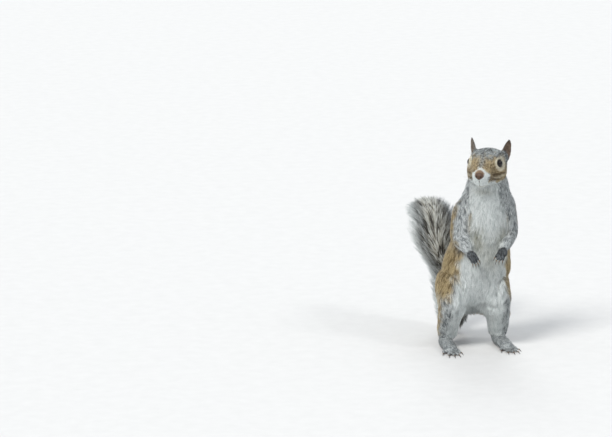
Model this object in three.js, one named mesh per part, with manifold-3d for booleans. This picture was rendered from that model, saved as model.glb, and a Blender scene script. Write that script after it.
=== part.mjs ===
// A life-size eastern gray squirrel, standing upright on its hind feet and looking to its right.
// Millimetres, +Z up, the animal faces -Y, so its left side is +X. Every solid reaches the tips of the coat.
// The trunk, head, shoulders and haunches are one smooth body of flesh, parted with thin cuts;
// limbs, tail, ears and claws are lofts that grow out of it.
import * as THREE from 'three';
import { mergeVertices } from 'three/addons/utils/BufferGeometryUtils.js';
import Module from 'manifold-3d';

const wasm = await Module();
wasm.setup();

// ---------------------------------------------------------------- driving sizes
const GAP = 0.3; // clear space between neighbouring solids
const SLIVER = 0.1; // facets thinner than this are merged away
const HEAD_CELL = 3.9; // facet size on the head
const BODY_CELL = 9.25; // facet size on the trunk
const HEAD_TURN = THREE.MathUtils.degToRad(-33); // the head looks to the animal's right
const EYE_RADIUS = 5.3;
const EAR_WIDTH = 15;
const FORE_CLAW = 4.2; // claw lengths
const HIND_CLAW = 4.6;

const at = (x, y, z) => new THREE.Vector3(x, y, z);

// Landmarks of the standing pose. Pairs are [right, left].
const PELVIS = at(-3, 15, 68);
const BELLY = at(1.5, 0, 94);
const RIBS = at(6.5, -7, 138);
const SHOULDERS = at(8, -8, 164);
const NECK = at(9.5, -12, 184);
const BETWEEN_EYES = at(-0.8, -33, 221);
const SIDES = [
  { name: 'right', sign: -1 },
  { name: 'left', sign: 1 },
];
const SHOULDER = [at(-16, -6, 162), at(31.5, -7, 166)];
const ELBOW = [at(-25, -12, 132), at(37, -15, 134)];
const WRIST = [at(-21.5, -42, 120.5), at(21.5, -42, 121.5)];
const KNUCKLES = [at(-17, -49.5, 114), at(13.5, -49.5, 115.5)];
const HIP = [at(-25, 20, 70), at(20, 20, 70)];
const KNEE = [at(-33, -18, 60), at(22.5, -20, 61)];
const SHIN_END = [at(-31, 6, 20), at(29.5, 5, 20)]; // where the fur of the shins hangs widest
const HOCK = [at(-34, 8, 12), at(28.5, 6, 12)];
const BALL_OF_FOOT = [at(-38, -34, 4.2), at(30, -37, 4.2)];

// ---------------------------------------------------------------- solids and cuts
function solidFrom(geometry) {
  const bare = geometry.clone();
  bare.deleteAttribute('normal');
  bare.deleteAttribute('uv');
  const merged = mergeVertices(bare, 1e-4);
  return new wasm.Manifold(new wasm.Mesh({
    numProp: 3,
    vertProperties: new Float32Array(merged.attributes.position.array),
    triVerts: new Uint32Array(merged.index.array),
  }));
}

function geometryFrom(solid) {
  const mesh = solid.getMesh();
  const geometry = new THREE.BufferGeometry();
  geometry.setAttribute('position', new THREE.BufferAttribute(mesh.vertProperties, 3));
  geometry.setIndex(new THREE.BufferAttribute(mesh.triVerts, 1));
  geometry.computeVertexNormals();
  return geometry;
}

// The largest single body of a cut, without the crumbs that a cut can leave.
const largest = (solid) => solid.decompose().reduce((a, b) => (a.volume() > b.volume() ? a : b));
const without = (solid, ...cutters) => cutters.reduce((rest, cutter) => rest.subtract(cutter), solid);

// ---------------------------------------------------------------- distance fields of the flesh
// Each field gives the distance from a point to a surface, negative inside.
function lump(centre, radii, turn = new THREE.Matrix4()) {
  const back = turn.clone().invert();
  const p = at(0, 0, 0);
  return (x, y, z) => {
    p.set(x - centre.x, y - centre.y, z - centre.z).applyMatrix4(back);
    const near = Math.hypot(p.x / radii.x, p.y / radii.y, p.z / radii.z);
    const slope = Math.hypot(p.x / radii.x ** 2, p.y / radii.y ** 2, p.z / radii.z ** 2);
    return slope < 1e-9 ? -Math.min(radii.x, radii.y, radii.z) : (near * (near - 1)) / slope;
  };
}

function limb(from, to, fromRadius, toRadius) {
  const along = to.clone().sub(from);
  const length2 = along.lengthSq();
  return (x, y, z) => {
    const dot = (x - from.x) * along.x + (y - from.y) * along.y + (z - from.z) * along.z;
    const t = THREE.MathUtils.clamp(dot / length2, 0, 1);
    const away = Math.hypot(x - from.x - along.x * t, y - from.y - along.y * t, z - from.z - along.z * t);
    return away - THREE.MathUtils.lerp(fromRadius, toRadius, t);
  };
}

// Joins fields with a fillet about `soft` millimetres wide.
function blend(soft, ...fields) {
  return (x, y, z) => fields.reduce((joined, field) => {
    const next = field(x, y, z);
    const mix = Math.max(soft - Math.abs(joined - next), 0) / soft;
    return Math.min(joined, next) - (mix * mix * soft) / 4;
  }, Infinity);
}

const placed = (field, matrix) => {
  const back = matrix.clone().invert();
  const p = at(0, 0, 0);
  return (x, y, z) => {
    p.set(x, y, z).applyMatrix4(back);
    return field(p.x, p.y, p.z);
  };
};

// ---------------------------------------------------------------- a field's surface as facets
// One vertex in each cell that the surface crosses, and one quad round each crossed grid edge.
function surfaceOf(field, low, high, cell) {
  const size = ['x', 'y', 'z'].map((axis) => Math.ceil((high[axis] - low[axis]) / cell) + 1);
  const stride = [1, size[0], size[0] * size[1]];
  const indexOf = (i, j, k) => i + j * stride[1] + k * stride[2];
  const values = new Float32Array(size[0] * size[1] * size[2]);
  for (let k = 0; k < size[2]; k++) {
    for (let j = 0; j < size[1]; j++) {
      for (let i = 0; i < size[0]; i++) {
        values[indexOf(i, j, k)] = field(low.x + i * cell, low.y + j * cell, low.z + k * cell);
      }
    }
  }
  const vertexIn = new Int32Array(values.length).fill(-1);
  const positions = [];
  for (let k = 0; k < size[2] - 1; k++) {
    for (let j = 0; j < size[1] - 1; j++) {
      for (let i = 0; i < size[0] - 1; i++) {
        const point = crossingIn([i, j, k], values, stride, low, cell);
        if (!point) continue;
        vertexIn[indexOf(i, j, k)] = positions.length / 3;
        positions.push(...ontoSurface(field, point, cell).toArray());
      }
    }
  }
  const faces = [];
  for (let axis = 0; axis < 3; axis++) {
    const [u, v] = [stride[(axis + 1) % 3], stride[(axis + 2) % 3]];
    for (let start = 0; start < values.length - stride[axis]; start++) {
      const inside = values[start] < 0;
      if (inside === values[start + stride[axis]] < 0) continue;
      const ring = [start, start - u, start - u - v, start - v].map((cellIndex) => vertexIn[cellIndex]);
      if (!inside) ring.reverse();
      faces.push(...twoTriangles(ring, positions));
    }
  }
  const geometry = new THREE.BufferGeometry();
  geometry.setAttribute('position', new THREE.Float32BufferAttribute(positions, 3));
  geometry.setIndex(faces);
  return geometry;
}

// The mean point where the surface crosses a cell's twelve edges.
function crossingIn(corner, values, stride, low, cell) {
  const sum = at(0, 0, 0);
  let count = 0;
  for (let axis = 0; axis < 3; axis++) {
    for (let side = 0; side < 4; side++) {
      const from = [...corner];
      from[(axis + 1) % 3] += side & 1;
      from[(axis + 2) % 3] += side >> 1;
      const start = from[0] * stride[0] + from[1] * stride[1] + from[2] * stride[2];
      const [a, b] = [values[start], values[start + stride[axis]]];
      if (a < 0 === b < 0) continue;
      from[axis] += a / (a - b);
      sum.add(at(...from));
      count += 1;
    }
  }
  return count ? sum.multiplyScalar(cell / count).add(low) : null;
}

// Moves a point along the field's slope until it lies on the surface.
function ontoSurface(field, point, cell) {
  const step = cell * 0.05;
  for (let turn = 0; turn < 3; turn++) {
    const { x, y, z } = point;
    const slope = at(
      field(x + step, y, z) - field(x - step, y, z),
      field(x, y + step, z) - field(x, y - step, z),
      field(x, y, z + step) - field(x, y, z - step),
    ).divideScalar(2 * step);
    const move = THREE.MathUtils.clamp(field(x, y, z) / Math.max(slope.lengthSq(), 0.2), -cell / 3, cell / 3);
    point.addScaledVector(slope, -move);
  }
  return point;
}

// A quad split along its shorter diagonal.
function twoTriangles([a, b, c, d], positions) {
  const corner = (i) => at(...positions.slice(3 * i, 3 * i + 3));
  return corner(a).distanceTo(corner(c)) < corner(b).distanceTo(corner(d))
    ? [a, b, c, a, c, d]
    : [b, c, d, b, d, a];
}

// ---------------------------------------------------------------- lofts
// Joins closed rings of equal length, and closes both ends with a fan.
function loft(rings) {
  const sides = rings[0].length;
  const positions = rings.flat().flatMap((p) => p.toArray());
  const faces = [];
  for (let r = 0; r < rings.length - 1; r++) {
    for (let s = 0; s < sides; s++) {
      const [a, b] = [r * sides + s, r * sides + ((s + 1) % sides)];
      faces.push(a, b, b + sides, a, b + sides, a + sides);
    }
  }
  const last = (rings.length - 1) * sides;
  for (const [ring, first, turn] of [[rings[0], 0, 1], [rings[rings.length - 1], last, -1]]) {
    const middle = positions.length / 3;
    const centre = ring.reduce((sum, p) => sum.add(p), at(0, 0, 0)).divideScalar(sides);
    positions.push(...centre.toArray());
    for (let s = 0; s < sides; s++) {
      const [a, b] = [first + s, first + ((s + 1) % sides)];
      faces.push(...(turn > 0 ? [middle, b, a] : [middle, a, b]));
    }
  }
  const geometry = new THREE.BufferGeometry();
  geometry.setAttribute('position', new THREE.Float32BufferAttribute(positions, 3));
  geometry.setIndex(faces);
  return solidFrom(geometry);
}

const station = (point, wide, thick = wide) => ({ at: point, wide, thick }); // wide, thick: half sizes
const between = (a, b, t) => a.clone().lerp(b, t);

// A round-ended tube through stations of {at, wide, thick}. `across` is the way its width lies,
// `grow` makes it that much larger all round, and `ends` places the rings of its rounded ends.
function tube(stations, { sides = 10, steps = 2, across = at(1, 0, 0), grow = 0, blunt = 1, ends = [0.04, 0.35] }) {
  const line = new THREE.CatmullRomCurve3(stations.map((s) => s.at), false, 'centripetal');
  const girth = new THREE.CatmullRomCurve3(stations.map((s) => at(s.wide, s.thick, 0)), false, 'centripetal');
  const spans = stations.length - 1;
  const capped = ends.map((x) => x * blunt);
  const along = [];
  for (let i = 1; i < spans * steps; i++) along.push(i / steps);
  const marks = [...capped, ...along.filter((m) => m > blunt * 0.7 && m < spans - blunt * 0.7),
    ...capped.map((x) => spans - x).reverse()];
  const rings = marks.map((mark) => {
    const t = mark / spans;
    const fromEnd = Math.min(mark, spans - mark) / blunt;
    const dome = fromEnd < 1 ? Math.sqrt(1 - (1 - fromEnd) ** 2) : 1;
    const tangent = line.getTangent(t);
    const wide = across.clone().addScaledVector(tangent, -across.dot(tangent)).normalize();
    const thick = tangent.clone().cross(wide);
    const size = girth.getPoint(t);
    const end = mark < blunt ? -1 : 1;
    const centre = line.getPoint(t).addScaledVector(tangent, fromEnd < 1 ? end * grow : 0);
    return Array.from({ length: sides }, (_, i) => {
      const angle = (2 * Math.PI * i) / sides;
      return centre.clone()
        .addScaledVector(wide, Math.cos(angle) * (size.x * dome + grow))
        .addScaledVector(thick, Math.sin(angle) * (size.y * dome + grow));
    });
  });
  return loft(rings);
}

// ---------------------------------------------------------------- head
// Head frame: origin between the eyes, +X to its left, -Y to the nose, +Z to the crown.
const HEAD_FRAME = new THREE.Matrix4().makeRotationZ(HEAD_TURN).setPosition(BETWEEN_EYES);
const inHead = (x, y, z) => at(x, y, z).applyMatrix4(HEAD_FRAME);

function headField() {
  const both = (x, y, z, radii, turn = 0) => SIDES.map(({ sign }) => lump(
    at(sign * x, y, z), radii, new THREE.Matrix4().makeRotationZ(sign * turn)));
  return placed(blend(
    5,
    lump(at(0, 16, -1), at(20.5, 20, 12)), // cranium
    lump(at(0, 0, -4), at(15, 18, 12.5)), // forehead
    limb(at(0, -4, -7.5), at(0, -18.5, -11.8), 12, 7), // muzzle
    lump(at(0, -22.8, -10), at(4.9, 3.2, 3.7)), // nose
    lump(at(0, -11.4, -20.2), at(7.8, 12, 6.2)), // chin
    ...both(5.4, -15.2, -13.6, at(5.6, 6.2, 5.2)), // whisker pads
    ...both(10.5, 8, -9.5, at(12.5, 15, 14.5)), // cheeks
    ...both(13, 2, 5, at(4.6, 8, 4.2), -0.3), // brows
    ...both(13, 17, 4, at(7, 8, 6.2)), // roots of the ears
  ), HEAD_FRAME);
}

function eye(sign, grow = 0) {
  const centre = inHead(sign * 15.2, 0.5, 0);
  const ball = new THREE.SphereGeometry(EYE_RADIUS + grow, 12, 8);
  return solidFrom(ball.translate(centre.x, centre.y, centre.z));
}

// A cupped ear: rings of crescent section from its root in the head to its tip. The hollow faces
// outward and a little forward.
const EAR_ROOT = at(17, 21, 1);
const EAR_TIP = at(22.3, 24.5, 23.6);
const EAR_FACING = 0.88; // radians outward from straight ahead
const EAR_CUP = 4.6;
const EAR_THICKNESS = 2.2;

function ear(sign) {
  const rows = 6;
  const sides = 10;
  const out = at(Math.sin(EAR_FACING) * sign, -Math.cos(EAR_FACING), 0);
  const up = at(sign * (EAR_TIP.x - EAR_ROOT.x), EAR_TIP.y - EAR_ROOT.y, EAR_TIP.z - EAR_ROOT.z);
  const root = at(sign * EAR_ROOT.x, EAR_ROOT.y, EAR_ROOT.z);
  const along = up.clone().cross(out).normalize();
  const rings = Array.from({ length: rows }, (_, row) => {
    const t = 1 - (1 - row / (rows - 1)) ** 1.5; // rows close together at the rounded tip
    const half = (EAR_WIDTH / 2) * Math.max(Math.sqrt(Math.sin(Math.PI * (0.3 + 0.7 * t))), 0.22);
    const cup = EAR_CUP * (1 - 0.7 * t);
    return Array.from({ length: sides }, (_unused, i) => {
      const angle = (2 * Math.PI * (i + 0.5)) / sides;
      const skin = (EAR_THICKNESS / 2) * Math.tanh(2.5 * Math.sin(angle)) * (1 - 0.4 * t);
      const depth = cup * Math.abs(Math.sin(angle)) + skin - cup * 0.6;
      return root.clone().addScaledVector(up, t)
        .addScaledVector(along, half * Math.cos(angle))
        .addScaledVector(out, -depth).applyMatrix4(HEAD_FRAME);
    });
  });
  return loft(rings);
}

// ---------------------------------------------------------------- flesh
const upperArmField = (i) => limb(SHOULDER[i], ELBOW[i], 14.5, 11);
const shankField = (i) => limb(KNEE[i], SHIN_END[i], 15, 13.8);

function haunchField(i) {
  const middle = between(HIP[i], KNEE[i], 0.5);
  const slope = Math.atan2(HIP[i].z - KNEE[i].z, HIP[i].y - KNEE[i].y);
  const turn = new THREE.Matrix4().makeRotationX(slope);
  return lump(middle, at(17, 33, 26), turn);
}

const trunkField = blend(
  16,
  lump(PELVIS, at(36, 31, 33)),
  lump(BELLY, at(41.5, 34, 42)),
  lump(RIBS, at(34, 31, 38)),
);
const neckField = blend(
  12,
  limb(SHOULDERS, NECK, 30, 24),
  limb(NECK, inHead(0, 17, -4), 23.5, 18),
);
const head = headField();
const flesh = blend(
  9,
  blend(14, trunkField, neckField),
  upperArmField(0),
  upperArmField(1),
  haunchField(0),
  haunchField(1),
  shankField(0),
  shankField(1),
  head,
);

const BODY_BOX = [at(-70, -55, -8), at(70, 65, 226)]; // well clear of all the flesh but the crown
const HEAD_BOX = [at(-45, -75, 176), at(50, 30, 250)];
const beyond = ([low, high], margin, x, y, z) => margin - Math.min(
  x - low.x, high.x - x, y - low.y, high.y - y, z - low.z, high.z - z);

// The part of the flesh inside a box, closed where the box cuts it.
const fleshSolid = (cell, box, grow = 0) => solidFrom(
  surfaceOf((x, y, z) => Math.max(flesh(x, y, z) - grow, beyond(box, cell, x, y, z)), ...box, cell));

// A large block whose top face passes through a point, square to a direction.
function below(point, direction) {
  const size = 400;
  const turn = new THREE.Quaternion().setFromUnitVectors(at(0, 0, 1), direction.clone().normalize());
  const block = new THREE.BoxGeometry(size, size, size).translate(0, 0, -size / 2);
  return solidFrom(block.applyQuaternion(turn).translate(point.x, point.y, point.z));
}

// An egg round a limb's root, which parts it from the trunk. `slope` tips it forward.
function egg(centre, radii, slope, grow = 0) {
  const ball = new THREE.SphereGeometry(1, 10, 7);
  ball.scale(radii.x + grow, radii.y + grow, radii.z + grow);
  ball.rotateX(slope);
  return solidFrom(ball.translate(centre.x, centre.y, centre.z));
}

const armCutter = (i, grow) => egg(
  between(SHOULDER[i], ELBOW[i], 0.5).add(at(SIDES[i].sign * 4, -3, 0)), at(14.5, 18, 32), -0.12, grow);

// The haunch's egg, with a straight sleeve round the shank down to the floor.
function legCutter(i, grow) {
  const haunch = egg(between(HIP[i], KNEE[i], 0.5).add(at(SIDES[i].sign * 4, 0, 0)), at(19, 38, 30), 0.12, grow);
  const sleeve = tube([station(between(KNEE[i], HOCK[i], 0.1), 21, 20), station(HOCK[i].clone().setZ(-8), 19, 22)],
    { grow, sides: 8, steps: 1, blunt: 0.01, ends: [1] });
  return haunch.add(sleeve);
}

// ---------------------------------------------------------------- limbs
function forearm(i, grow = 0) {
  return tube([
    station(ELBOW[i], 10),
    station(between(ELBOW[i], WRIST[i], 0.45), 8.4, 8.4),
    station(between(ELBOW[i], WRIST[i], 0.85), 6.2, 6),
    station(WRIST[i], 5.2, 4.8),
  ], { grow, sides: 9, blunt: 0.7, steps: 1, ends: [0.1, 0.5] });
}

// Fingers and toes: a base point, the way they point and how far they curl down.
function digit(base, way, length, radius, droop) {
  const tip = base.clone().addScaledVector(way, length).add(at(0, 0, -droop));
  const middle = between(base, tip, 0.55).add(at(0, 0, droop * 0.45));
  return { base, middle, tip, radius, way: tip.clone().sub(middle).normalize() };
}

function digitSolid({ base, middle, tip, radius }) {
  return tube([station(base, radius * 1.15), station(middle, radius), station(tip, radius * 0.85)],
    { sides: 5, steps: 1, blunt: 0.5, ends: [0.15] });
}

const FINGER_LENGTHS = [6.5, 8.5, 8, 6];
const TOE_LENGTHS = [14, 19, 20, 19, 14.5];
const FINGER_RADIUS = 1.8;
const TOE_RADIUS = 2.4;
const FINGER_SPACING = 2.9;
const TOE_SPACING = 3.6;
const FINGER_SPLAY = 0.08; // how much each digit turns away from the one beside it
const TOE_SPLAY = 0.13;

function fingers(i) {
  const down = KNUCKLES[i].clone().sub(WRIST[i]).normalize();
  const side = at(1, 0, 0).addScaledVector(down, -down.x).normalize();
  return FINGER_LENGTHS.map((length, n) => {
    const spread = n - 1.5;
    const base = KNUCKLES[i].clone().addScaledVector(side, spread * FINGER_SPACING).addScaledVector(down, -2);
    const way = down.clone().addScaledVector(side, spread * FINGER_SPLAY).add(at(0, 0.25, -0.45)).normalize();
    return digit(base, way, length, FINGER_RADIUS, 0);
  });
}

function toes(i) {
  const forward = BALL_OF_FOOT[i].clone().sub(HOCK[i]).setZ(0).normalize();
  const side = at(-forward.y, forward.x, 0);
  return TOE_LENGTHS.map((length, n) => {
    const spread = (n - 2) * SIDES[i].sign;
    const back = [11, 6, 5, 6, 11][n]; // the outer toes begin further back
    const base = BALL_OF_FOOT[i].clone().addScaledVector(side, spread * TOE_SPACING).addScaledVector(forward, -back);
    const way = forward.clone().addScaledVector(side, spread * TOE_SPLAY).normalize();
    return digit(base.setZ(TOE_RADIUS + GAP), way, length, TOE_RADIUS, 0.8);
  });
}

function paw(i) {
  const middle = between(WRIST[i], KNUCKLES[i], 0.5);
  const palm = tube([station(WRIST[i], 5, 4.5), station(middle, 6.2, 4.6), station(KNUCKLES[i], 6.2, 4)],
    { sides: 8, steps: 1, blunt: 0.6, ends: [0.1, 0.5] });
  return fingers(i).map(digitSolid).reduce((all, finger) => all.add(finger), palm);
}

function foot(i) {
  const heel = HOCK[i].clone().add(at(0, 6, -5));
  const sole = tube([
    station(heel, 7.5, 7.5),
    station(between(heel, BALL_OF_FOOT[i], 0.3), 9, 7.5),
    station(between(heel, BALL_OF_FOOT[i], 0.7), 9, 6),
    station(BALL_OF_FOOT[i], 9.3, 4.6),
  ], { sides: 8, steps: 1, blunt: 0.6, ends: [0.1, 0.5] });
  return toes(i).map(digitSolid).reduce((all, toe) => all.add(toe), sole);
}

// A claw: a curved cone just clear of a digit's tip, tapering to a point.
function claw({ tip, way, radius }, length, hook) {
  const sides = 5;
  const root = tip.clone().addScaledVector(way, GAP);
  const side = at(0, 0, 1).cross(way).normalize();
  const up = way.clone().cross(side).normalize();
  const rings = [0, 0.5, 1].map((t) => {
    const centre = root.clone().addScaledVector(way, length * t).addScaledVector(up, -hook * t * t);
    const size = radius * 0.55 * (1 - 0.72 * t);
    return Array.from({ length: sides }, (_, n) => centre.clone()
      .addScaledVector(side, Math.cos((n * 2 * Math.PI) / sides) * size * 0.8)
      .addScaledVector(up, Math.sin((n * 2 * Math.PI) / sides) * size));
  });
  return loft(rings);
}

// ---------------------------------------------------------------- tail
// The tail leaves the rump, rests its root on the floor, rises along the back and curls away at the top.
const TAIL = [
  station(at(-3, 34, 46), 13.5, 13),
  station(at(-6, 52, 22), 15, 14),
  station(at(-8, 67, 12.6), 16.5, 14.5),
  station(at(-9, 80, 33), 18, 15),
  station(at(-10, 82, 60), 21, 15.5),
  station(at(-12, 80, 84), 25, 16),
  station(at(-17, 79, 105), 34, 15.5),
  station(at(-21.5, 83, 124), 41, 14.5),
  station(at(-23, 95, 138), 36.5, 13.5),
  station(at(-22.5, 112, 143.5), 30, 13.5),
  station(at(-22, 128, 136), 26, 12.5),
  station(at(-22.5, 140, 117), 17, 9),
];
const TAIL_CUTS = [3.2, 6, 8.6]; // where it is parted, in stations from the rump

const tail = () => tube(TAIL, { sides: 14, steps: 2, blunt: 0.9, ends: [0.04, 0.2, 0.55], across: at(1, 0.15, 0) });

function tailCut(mark) {
  const line = new THREE.CatmullRomCurve3(TAIL.map((s) => s.at), false, 'centripetal');
  const t = mark / (TAIL.length - 1);
  return { point: line.getPoint(t), direction: line.getTangent(t) };
}

// ---------------------------------------------------------------- materials
const finish = (color, roughness) => new THREE.MeshStandardMaterial({ color, roughness, metalness: 0 });
const COAT = finish(0x8d8577, 0.85);
const PALE_COAT = finish(0xd9dcd8, 0.85);
const DARK_COAT = finish(0x4d4d4c, 0.85);
const TAIL_COAT = finish(0x9a968c, 0.9);
const EYE = finish(0x0b0908, 0.08);
const CLAW = finish(0x2c2622, 0.45);

// ---------------------------------------------------------------- assembly
const squirrel = new THREE.Group();

function add(name, solid, material) {
  const mesh = new THREE.Mesh(geometryFrom(largest(solid).asOriginal().simplify(SLIVER)), material);
  mesh.name = name;
  squirrel.add(mesh);
}

// The flesh is parted by planes at the nape, the collar, the knees and the ankles.
const lifted = ({ point, direction }, by) => below(
  point.clone().addScaledVector(direction.clone().normalize(), by), direction);
const nape = { point: inHead(0, 19, -15), direction: at(0, -0.42, 0.91).applyAxisAngle(at(0, 0, 1), HEAD_TURN) };
const collar = { point: at(8, -8, 176), direction: at(0.05, -0.15, 1) };
const ankle = { point: at(0, 0, 13), direction: at(0, 0, 1) };
const knee = { point: at(0, 0, 40), direction: at(0, 0.15, 1) };

const body = fleshSolid(BODY_CELL, BODY_BOX);
const belowCollar = body.intersect(lifted(collar, 0));
const grownBody = fleshSolid(BODY_CELL, BODY_BOX, GAP);
const finer = fleshSolid(HEAD_CELL, HEAD_BOX);
const grownHead = fleshSolid(HEAD_CELL, HEAD_BOX, GAP);
const floor = below(at(0, 0, 0), at(0, 0, 1));

add('head', without(finer, lifted(nape, GAP), eye(-1, GAP), eye(1, GAP)), COAT);
add('neck', without(body.intersect(lifted(nape, 0)), lifted(collar, GAP)), COAT);
add('trunk', SIDES.reduce((rest, _, i) => without(rest, armCutter(i, GAP), legCutter(i, GAP)), belowCollar), COAT);

SIDES.forEach(({ name, sign }, i) => {
  add(`eye_${name}`, eye(sign), EYE);
  add(`ear_${name}`, without(ear(sign), grownHead), COAT);
  add(`upper_arm_${name}`, belowCollar.intersect(armCutter(i, 0)), COAT);
  add(`forearm_${name}`, without(forearm(i), grownBody), COAT);
  add(`paw_${name}`, without(paw(i), forearm(i, GAP)), DARK_COAT);

  const leg = belowCollar.intersect(legCutter(i, 0));
  add(`thigh_${name}`, without(leg, lifted(knee, GAP)), COAT);
  add(`shank_${name}`, without(leg.intersect(lifted(knee, 0)), lifted(ankle, GAP)), PALE_COAT);
  add(`foot_${name}`, without(leg.add(foot(i)).intersect(lifted(ankle, 0)), floor), PALE_COAT);

  fingers(i).forEach((finger, n) => {
    add(`claw_fore_${name}_${n + 1}`, claw(finger, FORE_CLAW, 1.2), CLAW);
  });
  toes(i).forEach((toe, n) => {
    add(`claw_hind_${name}_${n + 1}`, claw(toe, HIND_CLAW, 1), CLAW);
  });
});

let restOfTail = without(tail(), grownBody, floor);
['tail_root', 'tail_middle', 'tail_upper', 'tail_tip'].forEach((name, n) => {
  if (n < TAIL_CUTS.length) {
    const cut = tailCut(TAIL_CUTS[n]);
    add(name, restOfTail.intersect(lifted(cut, 0)), TAIL_COAT);
    restOfTail = without(restOfTail, lifted(cut, GAP));
  } else {
    add(name, restOfTail, TAIL_COAT);
  }
});

// The origin is on the floor, under the middle of the animal.
const extent = new THREE.Box3().setFromObject(squirrel);
const middle = extent.getCenter(at(0, 0, 0));
squirrel.children.forEach((mesh) => mesh.geometry.translate(-middle.x, -middle.y, -extent.min.z));

export default squirrel;
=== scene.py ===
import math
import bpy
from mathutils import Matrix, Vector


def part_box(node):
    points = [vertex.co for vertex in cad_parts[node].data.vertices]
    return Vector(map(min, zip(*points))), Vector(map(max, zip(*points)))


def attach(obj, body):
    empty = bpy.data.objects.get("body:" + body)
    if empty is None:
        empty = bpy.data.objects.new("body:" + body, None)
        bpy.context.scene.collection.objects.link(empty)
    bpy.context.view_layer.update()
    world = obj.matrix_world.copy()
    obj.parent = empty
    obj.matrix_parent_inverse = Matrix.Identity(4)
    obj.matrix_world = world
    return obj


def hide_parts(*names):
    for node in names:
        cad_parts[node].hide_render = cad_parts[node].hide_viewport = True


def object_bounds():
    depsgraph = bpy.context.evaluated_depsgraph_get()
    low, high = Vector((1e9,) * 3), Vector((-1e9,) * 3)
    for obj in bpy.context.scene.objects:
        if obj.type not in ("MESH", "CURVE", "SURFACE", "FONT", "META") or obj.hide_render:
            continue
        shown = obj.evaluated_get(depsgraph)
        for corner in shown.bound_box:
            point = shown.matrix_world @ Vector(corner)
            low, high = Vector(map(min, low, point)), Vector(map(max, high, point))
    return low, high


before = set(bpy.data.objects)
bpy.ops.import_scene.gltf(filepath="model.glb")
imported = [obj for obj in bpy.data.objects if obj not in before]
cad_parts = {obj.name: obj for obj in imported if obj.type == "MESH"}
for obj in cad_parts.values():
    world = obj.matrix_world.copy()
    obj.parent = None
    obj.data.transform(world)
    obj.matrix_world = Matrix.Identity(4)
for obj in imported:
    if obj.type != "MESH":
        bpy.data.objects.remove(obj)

# A grey squirrel standing upright on its hind legs, as a still model on a studio floor.
# One skin replaces every solid of flesh, and tufts of hair cover it out to the surface of the solids.
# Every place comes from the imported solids. Lengths are millimetres until a mesh is made.

from types import SimpleNamespace

import bmesh
import bpy
import numpy as np
from mathutils import Vector
from mathutils.bvhtree import BVHTree
from mathutils.kdtree import KDTree

MM = 0.001
CELL = 0.75  # of the first closed surface round the solids
TAIL_CELL = 1.5  # of the same round the tail alone, which only shows its route
FLOOR_GAP = 0.02  # between the soles and the floor
OVERLAP = 0.25  # how far each solid grows, so that the cuts between them close
SKIN_FACES = 140000  # before the face is cut finer
SMOOTH_ROUNDS = 70  # of evening out the facets
ROUTE_ROUNDS = 12  # of evening out the tail's route
LIE_ROUNDS = 26  # of evening out the lie of the hair
BLEND = 12  # rounds of evening out where one part of the body runs into the next
WAVES = 7  # in each field of noise
CAD_LOW, CAD_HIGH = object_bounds()
SIDES = {"right": -1, "left": 1}

# How the coat lies on each part of the body: its depth over the skin, then the length, width and
# number per square millimetre of its tufts.
COATS = {
    "head": (1.5, 3.6, 0.34, 3.5),
    "ear": (0.4, 2.0, 0.28, 3.8),
    "neck": (3.6, 6.6, 0.43, 2.2),
    "trunk": (4.4, 10.0, 0.55, 1.3),
    "upper_arm": (2.8, 6.5, 0.48, 1.9),
    "forearm": (1.5, 4.4, 0.38, 2.8),
    "paw": (0.3, 1.6, 0.25, 5.0),
    "thigh": (3.6, 8.5, 0.52, 1.4),
    "shank": (2.2, 5.5, 0.44, 2.1),
    "foot": (0.6, 2.2, 0.32, 2.3),
    "tail": (0.6, 7.0, 0.6, 0.0),  # its long hair is made apart
}

# ---------------------------------------------------------------- numbers


def unit(v):
    return v / np.maximum(np.linalg.norm(v, axis=-1, keepdims=True), 1e-9)


def size_of(v):
    return np.linalg.norm(v, axis=1)


def step(low, high, x):
    """0 below low, 1 above high, and an even curve between them."""
    t = np.clip((x - low) / (high - low), 0, 1)
    return t * t * (3 - 2 * t)


def bell(x, width):
    return np.exp(-((x / width) ** 2))


def mixed(a, b, share):
    return a + (b - a) * share


def across(direction, normal):
    """The part of a direction that lies along the surface, as a unit vector."""
    flat = direction - normal * (direction * normal).sum(-1, keepdims=True)
    return unit(flat)


def waves(points, size, seed):
    """An even, seeded noise of about -1 to 1 over points, whose features are about size across."""
    rng = np.random.default_rng(seed)
    total = np.zeros(len(points))
    for _ in range(WAVES):
        way = unit(rng.normal(size=3)) * rng.uniform(0.6, 1.5) / size
        total += np.sin(2 * math.pi * (points @ way + rng.random()))
    return total / 2.65  # about the root of their number


def colour(red, green, blue):
    """A colour as a painter names it, 0 to 255, in linear light."""
    share = np.array([red, green, blue]) / 255
    return np.where(share <= 0.04045, share / 12.92, ((share + 0.055) / 1.055) ** 2.4)


def round_turn(count):
    """Even angles, once round."""
    return 2 * math.pi * np.arange(count) / count


def numbers(items, name, width, kind=float):
    """What the items of a mesh say, as a table."""
    found = np.empty(len(items) * width, kind)
    items.foreach_get(name, found)
    return found.reshape(-1, width)


# ---------------------------------------------------------------- the solids


def solid(name):
    """A CAD node's corners, welded, and its triangles."""
    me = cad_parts[name].data
    me.calc_loop_triangles()
    corners = numbers(me.vertices, "co", 3) / MM
    faces = numbers(me.loop_triangles, "vertices", 3, np.int32)
    _, first, same = np.unique(corners.round(3), axis=0, return_index=True, return_inverse=True)
    return corners[first], same.reshape(-1)[faces]


def centre(name):
    """The middle of a CAD node's box."""
    low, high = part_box(name)
    return np.array((low + high) / 2) / MM


def corner_normals(corners, faces):
    a, b, c = (corners[faces[:, i]] for i in range(3))
    face = np.cross(b - a, c - a)
    total = np.zeros_like(corners)
    for i in range(3):
        for k in range(3):
            total[:, k] += np.bincount(faces[:, i], face[:, k], len(corners))
    return unit(total)


def grown(name):
    """A CAD node's surface, moved out so that it runs into its neighbours."""
    corners, faces = solid(name)
    return corners + corner_normals(corners, faces) * OVERLAP, faces


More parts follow.
